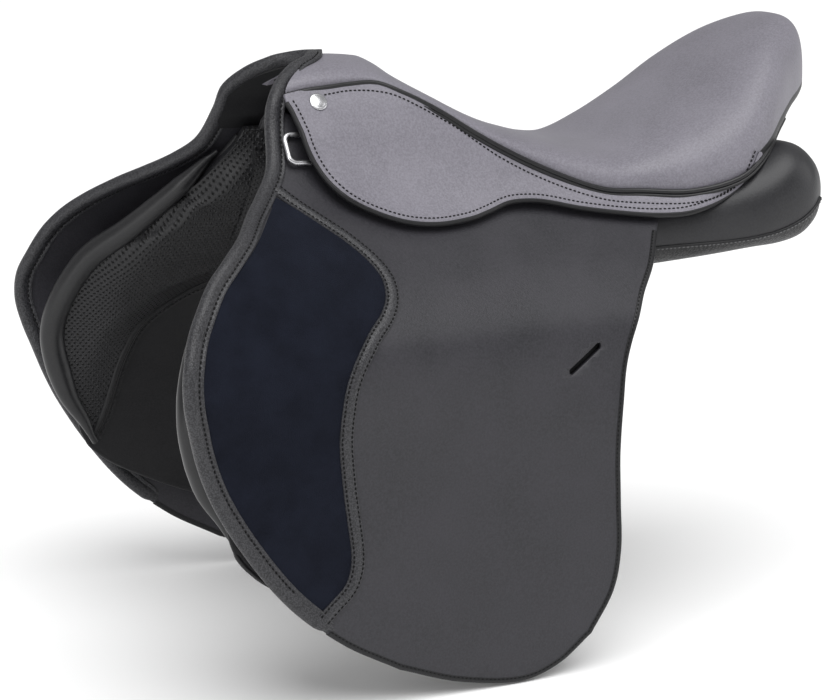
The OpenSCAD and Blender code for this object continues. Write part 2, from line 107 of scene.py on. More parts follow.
def curve(points, count):
    """A smooth curve through points, as count points a steady distance apart."""
    points = np.asarray(points, float)
    step = np.sqrt(np.linalg.norm(np.diff(points, axis=0), axis=1))
    keys = np.r_[0, np.cumsum(step)]
    fine = smooth_read(keys, points, np.linspace(0, keys[-1], 24 * len(points)))
    return resample(fine, count)


def shifted(line, distance):
    """A flat line moved to its left by a distance (to its right when negative)."""
    t = np.gradient(line, axis=0)
    t /= np.linalg.norm(t, axis=1)[:, None]
    return line + distance * np.stack([-t[:, 1], t[:, 0]], -1)


# ---------------------------------------------------------------- surfaces
# Outer face of the main flap by height z:
# [z, half-width at x = 100, gain further forward, knee bulge, flare to the rear, depth to the sweat flap]
FACE = np.array([
    [-250, 165, 0, 0, 0, 13], [-200, 168, -2, 0, 0, 13], [-160, 169, -4, 0, 0, 13],
    [-130, 169, -4, 0, 0, 13], [-95, 169, -4, 0, 0, 15], [-60, 170, -1, 0, 0, 20],
    [-35, 169, 8, 0, 0, 29], [-15, 167, 12, 0, 0, 36], [0, 163, 13, 0, 0, 39],
    [14, 153, 14, 2, 0, 40], [32, 134, 15, 13, 5, 46], [49, 110, 15, 26, 22, 45],
    [60, 94, 12, 36, 32, 42], [72, 79, 8, 41, 41, 33], [86, 67, 3, 33, 48, 22],
    [104, 57, 0, 20, 55, 9], [128, 46, 0, 12, 55, 4], [150, 34, 0, 6, 55, 2], [175, 8, 0, 0, 55, 0]], float)


def face_y(x, z):
    """Half-width of the flap's outer face."""
    half, gain, bulge, flare, _ = np.moveaxis(smooth_read(FACE[:, 0], FACE[:, 1:], z), -1, 0)
    rear = np.minimum(1.3, (np.maximum(0, -x) / 110) ** 2)
    return half + gain * (x - 100) / 265 + bulge * ease((x - 120) / 210) + flare * rear


def sweat_y(x, z):
    """Half-width of the sweat flap's outer face."""
    depth = smooth_read(FACE[:, 0], FACE[:, 5:6], z)[..., 0]
    return face_y(x, z) - 14 - (depth - 14) * ease((x - 120) / 180)


def skirt_y(x, z):
    """Half-width of the skirt's outer face; its tail closes in on the seat's edge."""
    tail = ease((-45 - x) / 55)
    clear_of_ring = 2.2 * ease((x - 190) / 22) * ease((138 - z) / 15)
    return (face_y(x, z) + 12 + clear_of_ring) * (1 - tail) + (101.5 - 0.12 * np.maximum(0, -95 - x)) * tail


def normal_at(surface, x, z):
    """Outward unit normal of the surface y = surface(x, z)."""
    e = 1.5
    dx = (surface(x + e, z) - surface(x - e, z)) / (2 * e)
    dz = (surface(x, z + e) - surface(x, z - e)) / (2 * e)
    n = np.stack([-dx, np.ones_like(dx), -dz], -1)
    return n / np.linalg.norm(n, axis=-1)[..., None]


def lay(surface, net, height=0.0):
    """Points over (x, z) places, a height outside the surface."""
    x, z = net[..., 0], net[..., 1]
    base = np.stack([x, surface(x, z), z], -1)
    return base + np.asarray(height, float)[..., None] * normal_at(surface, x, z)


class Path:
    """A line of points with, at each, its direction, the way across and the way out."""

    def __init__(self, points, out, side=1):
        self.points = np.asarray(points, float)
        self.ahead = np.gradient(self.points, axis=0)
        self.ahead /= np.linalg.norm(self.ahead, axis=1)[:, None]
        out = out - (out * self.ahead).sum(1)[:, None] * self.ahead
        self.out = out / np.linalg.norm(out, axis=1)[:, None]
        self.across = side * np.cross(self.out, self.ahead)

    def beside(self, sideways, height):
        """The line moved sideways and outwards, as a new path."""
        return Path(self.points + sideways * self.across + height * self.out, self.out)


def surface_path(surface, line, side=1):
    return Path(lay(surface, line), normal_at(surface, line[:, 0], line[:, 1]), side)


# ---------------------------------------------------------------- solids
def net_faces(rows, cols, start=0, closed=False):
    """Quads of a net of points; closed joins its last column to its first."""
    i, j = np.meshgrid(np.arange(rows - 1), np.arange(cols if closed else cols - 1), indexing="ij")
    a = start + i * cols + j
    b = start + i * cols + (j + 1) % cols
    return np.stack([a, b, b + cols, a + cols], -1).reshape(-1, 4).tolist()


def rings_solid(rings):
    """A closed solid through rings of points, capped at both ends."""
    n, m, _ = rings.shape
    caps = [list(range(m))[::-1], list(range((n - 1) * m, n * m))]
    u = along(rings.mean(1))
    steps = np.linalg.norm(np.diff(rings, axis=1), axis=2)
    around = np.concatenate([np.zeros((n, 1)), np.cumsum(steps, axis=1)], 1)
    uv = np.stack([np.broadcast_to(u[:, None], (n, m)), around], -1)
    return rings.reshape(-1, 3), net_faces(n, m, closed=True) + caps, uv.reshape(-1, 2)


def border(rows, cols):
    """Indices round the edge of a net."""
    low = [(0, j) for j in range(cols)]
    right = [(i, cols - 1) for i in range(1, rows)]
    top = [(rows - 1, j) for j in range(cols - 2, -1, -1)]
    left = [(i, 0) for i in range(rows - 2, 0, -1)]
    return np.array(low + right + top + left)


def leather(net, surface, out, back, edge=0.9):
    """A sheet between two heights over a surface, with a rounded edge; heights may be arrays."""
    rows, cols, _ = net.shape
    rim = border(rows, cols)
    loop = net[rim[:, 0], rim[:, 1]]
    t = np.roll(loop, -1, 0) - np.roll(loop, 1, 0)
    t /= np.maximum(np.linalg.norm(t, axis=1), 1e-6)[:, None]
    area = (loop[:, 0] * np.roll(loop[:, 1], -1) - np.roll(loop[:, 0], -1) * loop[:, 1]).sum()
    inward = np.stack([-t[:, 1], t[:, 0]], -1) * np.sign(area)
    out = np.broadcast_to(np.asarray(out, float), (rows, cols))
    back = np.broadcast_to(np.asarray(back, float), (rows, cols))
    rim_out, rim_back = out[rim[:, 0], rim[:, 1]], back[rim[:, 0], rim[:, 1]]
    small = net.copy()
    small[rim[:, 0], rim[:, 1]] = loop + edge * inward
    outer, inner = lay(surface, small, out), lay(surface, small, back)
    steps = [(0.3, rim_out - 0.3 * edge), (0.0, rim_out - edge),
             (0.0, rim_back + edge), (0.3, rim_back + 0.3 * edge)]
    rings = [lay(surface, loop + s * edge * inward, h) for s, h in steps]
    n, m = rows * cols, len(rim)
    points = np.concatenate([outer.reshape(-1, 3), inner.reshape(-1, 3), *rings])
    flat = rim[:, 0] * cols + rim[:, 1]
    chain = [flat] + [2 * n + k * m + np.arange(m) for k in range(4)] + [n + flat]
    faces = net_faces(rows, cols) + net_faces(rows, cols, n)
    for a, b in zip(chain[:-1], chain[1:]):
        faces += np.stack([a, np.roll(a, -1), np.roll(b, -1), b], -1).tolist()
    uv = np.concatenate([small.reshape(-1, 2), small.reshape(-1, 2)] + [loop] * 4)
    return points, faces, uv


def patch(low, high, left, right):
    """A net filled between four edges; low and high run from left to right, the others upwards."""
    u = np.linspace(0, 1, len(low))[None, :, None]
    v = np.linspace(0, 1, len(left))[:, None, None]
    ruled = (1 - v) * low[None] + v * high[None] + (1 - u) * left[:, None] + u * right[:, None]
    corners = (1 - v) * ((1 - u) * low[0] + u * low[-1]) + v * ((1 - u) * high[0] + u * high[-1])
    return ruled - corners


def lens(rear, front, cols):
    """A net between two edges that run side by side."""
    u = np.linspace(0, 1, cols)[None, :, None]
    return (1 - u) * rear[:, None] + u * front[:, None]


def ribbon(path, profile, taper=0):
    """A solid strip: a closed profile of (sideways, height) points carried along a path.

    With a taper the last millimetres thin down towards the profile's own middle.
    """
    a, h = np.asarray(profile, float).T
    left = along(path.points)
    left = left[-1] - left
    size = 0.15 + 0.85 * ease(left / taper)[:, None, None] if taper else 1.0
    middle = np.array([a.mean(), h.mean()])
    a, h = a - middle[0], h - middle[1]
    spine = path.points + middle[0] * path.across + middle[1] * path.out
    shape = a[None, :, None] * path.across[:, None] + h[None, :, None] * path.out[:, None]
    return rings_solid(spine[:, None] + size * shape)


def circle(radius, sides=12, sideways=0.0, height=0.0):
    t = np.linspace(0, 2 * np.pi, sides, endpoint=False)
    return np.stack([sideways + radius * np.cos(t), height + radius * np.sin(t)], -1)


STITCH = 2.6
STITCH_PITCH = 3.7
STITCH_R = 0.55
STITCH_SIDES = 6
# Rings of one stitch: [place along half its length, share of its radius, dip into the leather]
STITCH_RINGS = ((-1, 0.5, 0.35), (-0.55, 1, 0), (0.55, 1, 0), (1, 0.5, 0.35))


def stitches(path, pitch=STITCH_PITCH, length=STITCH, radius=STITCH_R):
    """A row of thread stitches along a path: short rounded bars whose ends dip into the leather."""
    total = along(path.points)
    count = max(2, int(total[-1] / pitch))
    at = (np.arange(count) + 0.5) * total[-1] / count
    lines = (path.points, path.ahead, path.across, path.out)
    read = [np.stack([np.interp(at, total, c) for c in line.T], -1) for line in lines]
    turn = np.linspace(0, 2 * np.pi, STITCH_SIDES, endpoint=False)
    bar = np.array([[s * length / 2, k * radius * math.cos(a), k * radius * math.sin(a) - dip]
                    for s, k, dip in STITCH_RINGS for a in turn])
    points = read[0][:, None] + sum(bar[None, :, k, None] * read[k + 1][:, None] for k in range(3))
    m = len(bar)
    caps = [list(range(STITCH_SIDES))[::-1], list(range(m - STITCH_SIDES, m))]
    one = net_faces(len(STITCH_RINGS), STITCH_SIDES, closed=True) + caps
    faces = [[i + m * k for i in f] for k in range(count) for f in one]
    return points.reshape(-1, 3), faces, np.repeat(read[0][:, [0, 2]], m, axis=0)


def joined(*solids):
    """Several solids as one."""
    points, faces, uvs, start = [], [], [], 0
    for p, f, uv in solids:
        points.append(p)
        faces += [[i + start for i in face] for face in f]
        uvs.append(uv)
        start += len(p)
    return np.concatenate(points), faces, np.concatenate(uvs)


def piece(name, solid, material, side=1, crease=50):
    """Makes the mesh object of a solid, mirrored when side is -1."""
    points, faces, uv = solid
    points = points * [1, side, 1] * MM
    mesh = bpy.data.meshes.new(name)
    mesh.from_pydata(points.tolist(), [], faces)
    layer = mesh.uv_layers.new(name="UVMap")
    corner = np.empty(len(mesh.loops), np.int32)
    mesh.loops.foreach_get("vertex_index", corner)
    layer.data.foreach_set("uv", (uv[corner] * MM).astype(np.float32).ravel())
    rest = mesh.attributes.new("rest", "FLOAT_VECTOR", "POINT")
    rest.data.foreach_set("vector", points.astype(np.float32).ravel())
    work = bmesh.new()
    work.from_mesh(mesh)
    bmesh.ops.recalc_face_normals(work, faces=work.faces)
    for f in work.faces:
        f.smooth = True
    for e in work.edges:
        e.smooth = len(e.link_faces) < 2 or e.calc_face_angle(0) < math.radians(crease)
    work.to_mesh(mesh)
    work.free()
    mesh.materials.append(material)
    obj = bpy.data.objects.new(name, mesh)
    bpy.context.scene.collection.objects.link(obj)
    return obj


# ---------------------------------------------------------------- materials
class Nodes:
    """A node material being built; every colour and bump comes from rest coordinates, object coordinates or
    UVs.
    """

    def __init__(self, name):
        self.material = bpy.data.materials.new(name)
        self.material.use_nodes = True
        self.tree = self.material.node_tree
        self.shader = self.tree.nodes["Principled BSDF"]
        self.height = None

    def add(self, kind, settings=None, **inputs):
        node = self.tree.nodes.new(kind)
        for key, value in (settings or {}).items():
            setattr(node, key, value)
        for key, value in inputs.items():
            numbered = key[0] == "i" and key[1:].isdigit()
            socket = node.inputs[int(key[1:]) if numbered else key.replace("_", " ")]
            if isinstance(value, bpy.types.NodeSocket):
                self.tree.links.new(value, socket)
            else:
                socket.default_value = value
        return node

    def place(self, rest=True):
        if rest:
            return self.add("ShaderNodeAttribute", {"attribute_name": "rest"}).outputs["Vector"]
        return self.add("ShaderNodeTexCoord").outputs["Object"]

    def noise(self, place, size_mm, detail=3.0, rough=0.55):
        node = self.add("ShaderNodeTexNoise", Vector=place, Scale=1000 / size_mm, Detail=detail,
                        Roughness=rough)
        return node.outputs["Fac"]

    def cells(self, place, size_mm, feature="F1"):
        node = self.add("ShaderNodeTexVoronoi", {"feature": feature}, Vector=place, Scale=1000 / size_mm)
        return node.outputs["Distance"]

    def math(self, op, a, b=0.0):
        return self.add("ShaderNodeMath", {"operation": op}, i0=a, i1=b).outputs[0]

    def ramp(self, value, low, high, out_low, out_high):
        node = self.add("ShaderNodeMapRange", Value=value)
        for key, number in zip(("From Min", "From Max", "To Min", "To Max"), (low, high, out_low, out_high)):
            node.inputs[key].default_value = number
        return node.outputs["Result"]

    def blend(self, factor, a, b):
        node = self.add("ShaderNodeMix", {"data_type": "RGBA"}, i0=factor)
        for socket, value in ((node.inputs[6], a), (node.inputs[7], b)):
            if isinstance(value, bpy.types.NodeSocket):
                self.tree.links.new(value, socket)
            else:
                socket.default_value = (*value, 1)
        return node.outputs[2]

    def bump(self, height, depth_mm, strength=1.0):
        node = self.add("ShaderNodeBump", Height=height, Distance=depth_mm * MM, Strength=strength)
        if self.height is not None:
            self.tree.links.new(self.height, node.inputs["Normal"])
        self.height = node.outputs["Normal"]

    def done(self, colour, rough, **fixed):
        for key, value in (("Base Color", colour), ("Roughness", rough)):
            socket = self.shader.inputs[key]
            if isinstance(value, bpy.types.NodeSocket):
                self.tree.links.new(value, socket)
            elif key == "Base Color":
                socket.default_value = (*value, 1)
            else:
                socket.default_value = value
        for key, value in fixed.items():
            self.shader.inputs[key.replace("_", " ")].default_value = value
        if self.height is not None:
            self.tree.links.new(self.height, self.shader.inputs["Normal"])
        return self.material


def smooth_leather(name, dark, light, rough, grain=0.11, rest=True, spec=0.35):
    """Satin leather: a fine pore grain, slow colour mottling and uneven gloss."""
    n = Nodes(name)
    place = n.place(rest)
    slow = n.noise(place, 45, 4)
    pores = n.noise(place, 1.5, 2, 0.7)
    speck = n.ramp(pores, 0.35, 0.65, 0, 1)
    mottled = n.blend(n.ramp(slow, 0.3, 0.7, 0, 1), dark, light)
    colour = n.blend(n.math("MULTIPLY", speck, 0.5), mottled, tuple(c * 1.5 for c in light))
    n.bump(n.cells(place, 1.4), grain, 0.6)
    n.bump(n.noise(place, 9, 2), 0.12, 0.25)
    gloss = n.math("ADD", n.ramp(slow, 0.3, 0.7, rough - 0.04, rough + 0.05), n.math("MULTIPLY", speck, 0.05))
    return n.done(colour, gloss, Specular_IOR_Level=spec)


def grained_leather(name, dark, light, rough, size_mm, depth_mm, rest=True):
    """Pebbled leather: raised cells that shine on top, their tops painted lighter as painted highlight and
    the creases between them painted darker as painted shade.
    """
    n = Nodes(name)
    place = n.place(rest)
    warp = n.add("ShaderNodeVectorMath", {"operation": "SCALE"}, i0=n.add(
        "ShaderNodeTexNoise", Vector=place, Scale=1000 / (size_mm * 2.2)).outputs["Color"])
    warp.inputs["Scale"].default_value = size_mm * 0.9 * MM
    bent = n.add("ShaderNodeVectorMath", {"operation": "ADD"}, i0=place, i1=warp.outputs[0]).outputs[0]
    cell = n.cells(bent, size_mm)
    tops = n.ramp(cell, 0.15, 0.75, 1, 0)
    # Painted highlight and shade: lighter on the raised cell tops, darker down in the creases.
    colour = n.blend(tops, dark, light)
    n.bump(tops, depth_mm, 0.9)
    n.bump(n.noise(place, 0.7, 2), 0.05, 0.5)
    gloss = n.ramp(tops, 0, 1, rough + 0.18, rough)
    return n.done(colour, gloss, Specular_IOR_Level=0.4)


def perforated_leather(name, dark, light, rough, pitch_mm=4.0, hole_mm=0.62):
    """Soft grained leather with staggered punched holes, laid out in the piece's own UVs."""
    n = Nodes(name)
    place = n.place()
    uv = n.add("ShaderNodeUVMap").outputs["UV"]
    split = n.add("ShaderNodeSeparateXYZ", i0=uv)
    rows = n.math("MULTIPLY", split.outputs[1], 1000 / (pitch_mm * 0.62))
    row = n.math("FLOOR", rows)
    odd = n.math("MULTIPLY", n.math("FLOORED_MODULO", row, 2.0), 0.5)
    cols = n.math("ADD", n.math("MULTIPLY", split.outputs[0], 1000 / pitch_mm), odd)
    du = n.math("MULTIPLY", n.math("SUBTRACT", n.math("FRACT", cols), 0.5), pitch_mm)
    dv = n.math("MULTIPLY", n.math("SUBTRACT", n.math("FRACT", rows), 0.5), pitch_mm * 0.62)
    away = n.math("SQRT", n.math("ADD", n.math("MULTIPLY", du, du), n.math("MULTIPLY", dv, dv)))
    leather_part = n.ramp(away, hole_mm * 0.75, hole_mm * 1.15, 0, 1)
    tops = n.ramp(n.cells(place, 1.3), 0.15, 0.75, 1, 0)
    # Painted shade: the holes are painted near-black for the shade inside them, and the grain is painted
    # lighter on its cell tops than in its creases (painted highlight and shade).
    colour = n.blend(leather_part, (0.002, 0.002, 0.002), n.blend(tops, dark, light))
    n.bump(tops, 0.12, 0.6)
    n.bump(n.ramp(away, hole_mm * 0.6, hole_mm * 1.7, 0, 1), 0.5, 1.0)
    gloss = n.ramp(leather_part, 0, 1, 0.9, rough)
    return n.done(colour, gloss, Specular_IOR_Level=0.35)


def suede_cloth(name, dark, light):
    """Napped suede: clouded brushing, a fine fuzz and a soft sheen."""
    n = Nodes(name)
    place = n.place()
    cloud = n.ramp(n.noise(place, 26, 4, 0.6), 0.35, 0.65, 0, 1)
    fuzz = n.ramp(n.noise(place, 0.8, 3, 0.8), 0.3, 0.7, 0, 1)
    mixed = n.math("ADD", n.math("MULTIPLY", cloud, 0.45), n.math("MULTIPLY", fuzz, 0.55))
    colour = n.blend(mixed, dark, light)
    n.bump(fuzz, 0.25, 0.8)
    return n.done(colour, 0.95, Sheen_Weight=0.08, Sheen_Roughness=0.4,
                  Sheen_Tint=(0.35, 0.42, 0.62, 1), Specular_IOR_Level=0.12)


def thread(name, tint):
    """Waxed thread: two twisted plies."""
    n = Nodes(name)
    place = n.place()
    ply = n.add("ShaderNodeTexWave", Vector=place, Scale=900.0, Distortion=2.0).outputs["Fac"]
    # Painted shade: the colour is halved down in the grooves between the plies.
    colour = n.blend(ply, tuple(c * 0.5 for c in tint), tint)
    n.bump(ply, 0.08, 0.6)
    return n.done(colour, 0.6, Specular_IOR_Level=0.2)


def metal(name, tint, rough, brushed=0.0):
    """Polished metal with faint wear scratches and smudges."""
    n = Nodes(name)
    place = n.place(rest=False)
    smudge = n.noise(place, 7, 5)
    fine = n.noise(place, 0.5, 2)
    colour = n.blend(n.ramp(smudge, 0.3, 0.7, 0, 1), tuple(c * 0.88 for c in tint), tint)
    n.bump(fine, 0.03 + brushed, 0.4)
    gloss = n.ramp(smudge, 0.3, 0.7, rough, rough + 0.12)
    return n.done(colour, gloss, Metallic=1.0)


def plywood(name):
    """Laminated beech: long grain with thin glue lines."""
    n = Nodes(name)
    place = n.place(rest=False)
    stretch = n.add("ShaderNodeMapping", Vector=place, Scale=(0.12, 1, 1)).outputs[0]
    grain = n.noise(stretch, 3, 5, 0.7)
    layer = n.add("ShaderNodeTexWave", {"bands_direction": "Z"},
                  Vector=place, Scale=110.0, Distortion=0.4).outputs["Fac"]
    wood = n.blend(n.ramp(grain, 0.35, 0.65, 0, 1), (0.30, 0.19, 0.10), (0.50, 0.35, 0.20))
    colour = n.blend(n.ramp(layer, 0.86, 0.98, 0, 0.6), wood, (0.14, 0.08, 0.04))
    n.bump(grain, 0.15, 0.4)
    return n.done(colour, 0.5)


def woven(name, dark, light):
    """Woven webbing: a plain weave of thick threads."""
    n = Nodes(name)
    place = n.place(rest=False)
    warp = n.add("ShaderNodeTexWave", {"bands_direction": "Y"}, Vector=place, Scale=260.0).outputs["Fac"]
    weft = n.add("ShaderNodeTexWave", {"bands_direction": "DIAGONAL"}, Vector=place,
                 Scale=200.0).outputs["Fac"]
    weave = n.math("MULTIPLY", warp, weft)
    n.bump(weave, 0.4, 0.9)
    # Partly painted shade: darker where the weave sinks between threads; the noise adds random tone.
    colour = n.blend(n.math("ADD", weave, n.math("MULTIPLY", n.noise(place, 4), 0.4)), dark, light)
    return n.done(colour, 0.9, Sheen_Weight=0.2)


def open_foam(name, dark, light):
    """Moulded foam: small open cells."""
    n = Nodes(name)
    place = n.place()
    cell = n.ramp(n.cells(place, 1.6), 0.1, 0.6, 0, 1)
    n.bump(cell, 0.5, 0.8)
    # Painted shade: the colour darkens down into each cell's pit.
    return n.done(n.blend(cell, dark, light), 0.9)


# Painted light: the seat and skirt leather is painted several times lighter than the flap leather, with a
# lavender tint, standing in for the light and sheen on their upward faces.
SEAT_LEATHER_PAINTED_LIGHT = smooth_leather("seat_leather", (0.135, 0.129, 0.150), (0.168, 0.161, 0.186), 0.42, spec=0.35)
FLAP_LEATHER = smooth_leather("flap_leather", (0.018, 0.018, 0.021), (0.027, 0.026, 0.031), 0.42, spec=0.36)
BAND_LEATHER = grained_leather("band_leather", (0.012, 0.012, 0.014), (0.046, 0.046, 0.051), 0.34, 1.1, 0.16)
# Near-black leather for dyed edges, bindings and welts; on the seat's rear underside it is painted shade.
EDGE_AND_SHADE_LEATHER = smooth_leather("edge_leather", (0.006, 0.006, 0.007), (0.011, 0.011, 0.012), 0.42, 0.05,
                              spec=0.3)
ROLL_LEATHER = smooth_leather("roll_leather", (0.006, 0.006, 0.007), (0.012, 0.012, 0.013), 0.33, 0.03,
                              spec=0.4)
LINING_LEATHER = smooth_leather("lining_leather", (0.006, 0.006, 0.007), (0.011, 0.011, 0.012), 0.5,
                                spec=0.25)
SOFT_LEATHER = smooth_leather("soft_leather", (0.010, 0.010, 0.012), (0.018, 0.018, 0.020), 0.40, spec=0.4)
STRAP_LEATHER = smooth_leather("strap_leather", (0.010, 0.010, 0.011), (0.020, 0.020, 0.022), 0.5, rest=False)
PERFORATED = perforated_leather("perforated_leather", (0.007, 0.007, 0.008), (0.018, 0.018, 0.020), 0.40)
PEBBLED = grained_leather("pebbled_leather", (0.003, 0.003, 0.004), (0.014, 0.014, 0.015), 0.38, 1.6, 0.25)
SUEDE = suede_cloth("navy_suede", (0.0035, 0.0042, 0.0080), (0.0095, 0.0115, 0.0200))
THREAD = thread("black_thread", (0.0022, 0.0022, 0.0026))
PALE_THREAD = thread("pale_thread", (0.16, 0.16, 0.165))
GREY_THREAD = thread("grey_thread", (0.030, 0.030, 0.032))
CHROME = metal("chrome", (0.60, 0.60, 0.62), 0.22)
STEEL = metal("steel", (0.62, 0.62, 0.64), 0.28, 0.03)
PLATE = metal("plate_steel", (0.20, 0.20, 0.21), 0.45, 0.02)
WOOD = plywood("beech_ply")
WEBBING = woven("webbing", (0.30, 0.28, 0.25), (0.60, 0.57, 0.50))
BLOCK_FOAM = open_foam("block_foam", (0.012, 0.012, 0.013), (0.035, 0.035, 0.037))

# ---------------------------------------------------------------- outlines, seen from the side: [x, z]
FLAP_FRONT = [[240, 147], [247, 120], [259, 101], [291, 77], [330, 48], [350, 16], [357, -12], [351, -46],
              [331, -98], [290, -159], [248, -197], [204, -223]]
FLAP_LOW = [[204, -223], [160, -239], [112, -247], [82, -239], [57, -220]]
FLAP_REAR = [[57, -220], [41, -191], [36, -162], [37, -126], [38, -90], [36, -55], [29, -21], [12, 10],
             [-9, 30], [-31, 52]]
FLAP_TOP = [[-31, 52], [-32, 64], [20, 72], [50, 80], [97, 92], [150, 108], [208, 126], [240, 147]]
INSERT_REAR = [[259, 91], [244, 81], [228, 69], [217, 60], [207, 50], [202, 39], [205, 29], [213, 19],
               [227, 8],
               [240, -9], [247, -27], [249, -55], [246, -83], [242, -111], [239, -132], [240, -146],
               [245, -159],
               [256, -168], [268, -178]]
PIPING_REAR = [[250, 98], [241, 87], [225, 74], [213, 65], [201, 52], [195, 41], [196, 28], [205, 16],
               [219, 4],
               [231, -10], [238, -28], [240, -56], [237, -91], [233, -126], [232, -147], [237, -162],
               [252, -179],
               [258, -186]]
POMMEL_EDGE = [[196, 0, 172.6], [198.5, 5, 172], [205, 12, 170.5], [217, 19, 167.5], [231, 31, 160],
               [242, 43, 147.5],
               [246, 50, 132]]
SKIRT_LOW = [[233, 148], [231, 143], [228, 131], [227, 121], [223, 108], [216, 96], [205, 86], [186, 76],
             [165, 69],
             [142, 66], [117, 67], [100, 70], [82, 74], [65, 74], [51, 72], [29, 67], [-1, 62], [-27, 59],
             [-53, 59],
             [-80, 64], [-101, 73], [-110, 85], [-116, 96]]
SKIRT_HIGH = [[233, 153], [218, 155], [203, 155], [187, 157], [171, 157], [160, 155], [145, 149], [111, 130],
              [77, 110], [42, 91], [6, 76], [-24, 71.5], [-60, 69.5], [-97, 76],
              [-118, 95]]
FLAP_T = 4.0

# ---------------------------------------------------------------- seat
# [x on the centre line, half-width, height of its edge, height of its middle, squareness]
SEAT = np.array([
    [183, 41, 152.5, 172.5, 1.75], [174, 40.5, 155, 172, 2], [165, 40, 156, 171, 2.2],
    [157, 38.5, 157, 169.5, 2.2], [145, 38, 157, 163.5, 2.2],
    [134, 44, 150, 156, 2.2], [110, 55, 130, 140.5, 2.4], [77, 65, 109, 124, 2.6], [42, 74, 91, 112, 2.8],
    [6, 82, 77, 103, 3], [-24, 86, 74, 102, 3], [-60, 96, 72, 115, 3], [-97, 101, 79, 135, 3],
    [-125, 94, 94, 156, 3], [-150, 75, 111, 173, 3.1], [-170, 57, 121, 182, 3], [-186, 43, 127, 184.5, 3],
    [-198, 30, 133, 179, 2.8], [-205, 16, 141, 168, 2.3],
    [-208, 4, 150, 158, 2.1]], float)
SEAT_SHELL = 14.0
RAKE = 1.2


def seat_section(row, turn, depth):
    """Points of one cross-section at angles from the off edge (-90) to the near edge (90)."""
    x, half, low, high, power = row
    a = np.radians(turn)
    y = half * np.abs(np.sin(a)) ** (2 / power) * np.sign(a)
    z = low + (high - low) * np.abs(np.cos(a)) ** (2 / power)
    middle = np.array([0, low - 12])
    d = np.stack([y, z], -1) - middle
    reach = np.maximum(0.25, 1 - depth / np.linalg.norm(d, axis=1))
    q = middle + d * reach[:, None]
    rear = ease((-160 - x) / 43)
    raked = x + RAKE * np.abs(q[:, 0]) * ease((x - 110) / 84) + depth * 0.5 * rear
    return np.stack([raked, q[:, 0], q[:, 1]], -1)


def seat_rows(count):
    key = along(SEAT[:, [0, 1, 3]])
    return smooth_read(key, SEAT, np.linspace(0, key[-1], count))


SEAT_TOP = 73        # points over the top of one cross-section
SEAT_UNDER = 33      # points back along its underside
PAINTED_SHADE_EDGE = 3        # points in from each edge painted near-black at the seat's rear: painted shade under the rolled cantle
PAINTED_SHADE_FROM_X = -115
WELT_EDGE = 89.5     # angle on the cross-section where the welt is sewn
# Cords of the welt: [radius, outwards, downwards]
WELT_CORDS = ((1.9, 0.6, 0.0), (1.3, 1.6, -2.9))


def build_seat():
    """The padded cover; round the cantle its lower edge is painted near-black, as painted shade on the rolled
    rear underside.
    """
    rings = []
    for row in seat_rows(170):
        top = resample(seat_section(row, np.linspace(-90, 90, 400), 0), SEAT_TOP)
        under = seat_section(row, np.linspace(90, -90, SEAT_UNDER), SEAT_SHELL)
        rings.append(np.concatenate([top, under]))
    seat = piece("seat_cover", rings_solid(np.array(rings)), SEAT_LEATHER_PAINTED_LIGHT, crease=70)
    # Painted shade: faces by the edges behind the cut-off x get the near-black edge leather, for the shade
    # under the cantle's rolled rear.
    seat.data.materials.append(EDGE_AND_SHADE_LEATHER)
    for f in seat.data.polygons:
        place = min(v % (SEAT_TOP + SEAT_UNDER) for v in f.vertices)
        by_edge = place < PAINTED_SHADE_EDGE or place > SEAT_TOP - 1 - PAINTED_SHADE_EDGE
        if len(f.vertices) == 4 and f.center.x < PAINTED_SHADE_FROM_X * MM and by_edge:
            f.material_index = 1
    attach(seat, "saddle")
    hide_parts("seat", "seat_foam")


def build_seat_welt():
    """Two cords down each side of the seat, tucked in under the cantle."""
    edge = np.array([seat_section(r, np.array([WELT_EDGE]), 0)[0] for r in seat_rows(120)[:98]])
    tuck = ease((-95 - edge[:, 0]) / 50)[:, None]
    edge = edge + [0, 2.0, -1.6] - tuck * [0, 5.5, 1.0]
    path = Path(edge, np.tile([0.0, 1.0, 0.2], (len(edge), 1)))
    cords = []
    for side in (1, -1):
        for radius, out, down in WELT_CORDS:
            cord = Path(path.points + [0, out, down], path.out)
            points, faces, uv = ribbon(cord, circle(radius))
            cords.append((points * [1, side, 1], faces, uv))
    welt = piece("seat_welt_cords", joined(*cords), ROLL_LEATHER)
    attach(welt, "saddle")
    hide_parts("seat_welt")


# ---------------------------------------------------------------- flaps
def flap_net():
    low = curve(FLAP_LOW[::-1], 61)
    rear = curve(FLAP_REAR, 91)
    front = curve(FLAP_FRONT[::-1], 91)
    high = curve(FLAP_TOP, 61)
    return patch(low, high, rear, front)


SLOT_HALF = 13.0     # from the slot's middle to the middle of each round end
SLOT_R = 2.5
SLOT_RISE = math.radians(-34)
SLOT_X, SLOT_Z = 64.5, -23.0
SLOT_SIDES = 32
CUT_FROM_Y, CUT_TO_Y = 150.0, 180.0


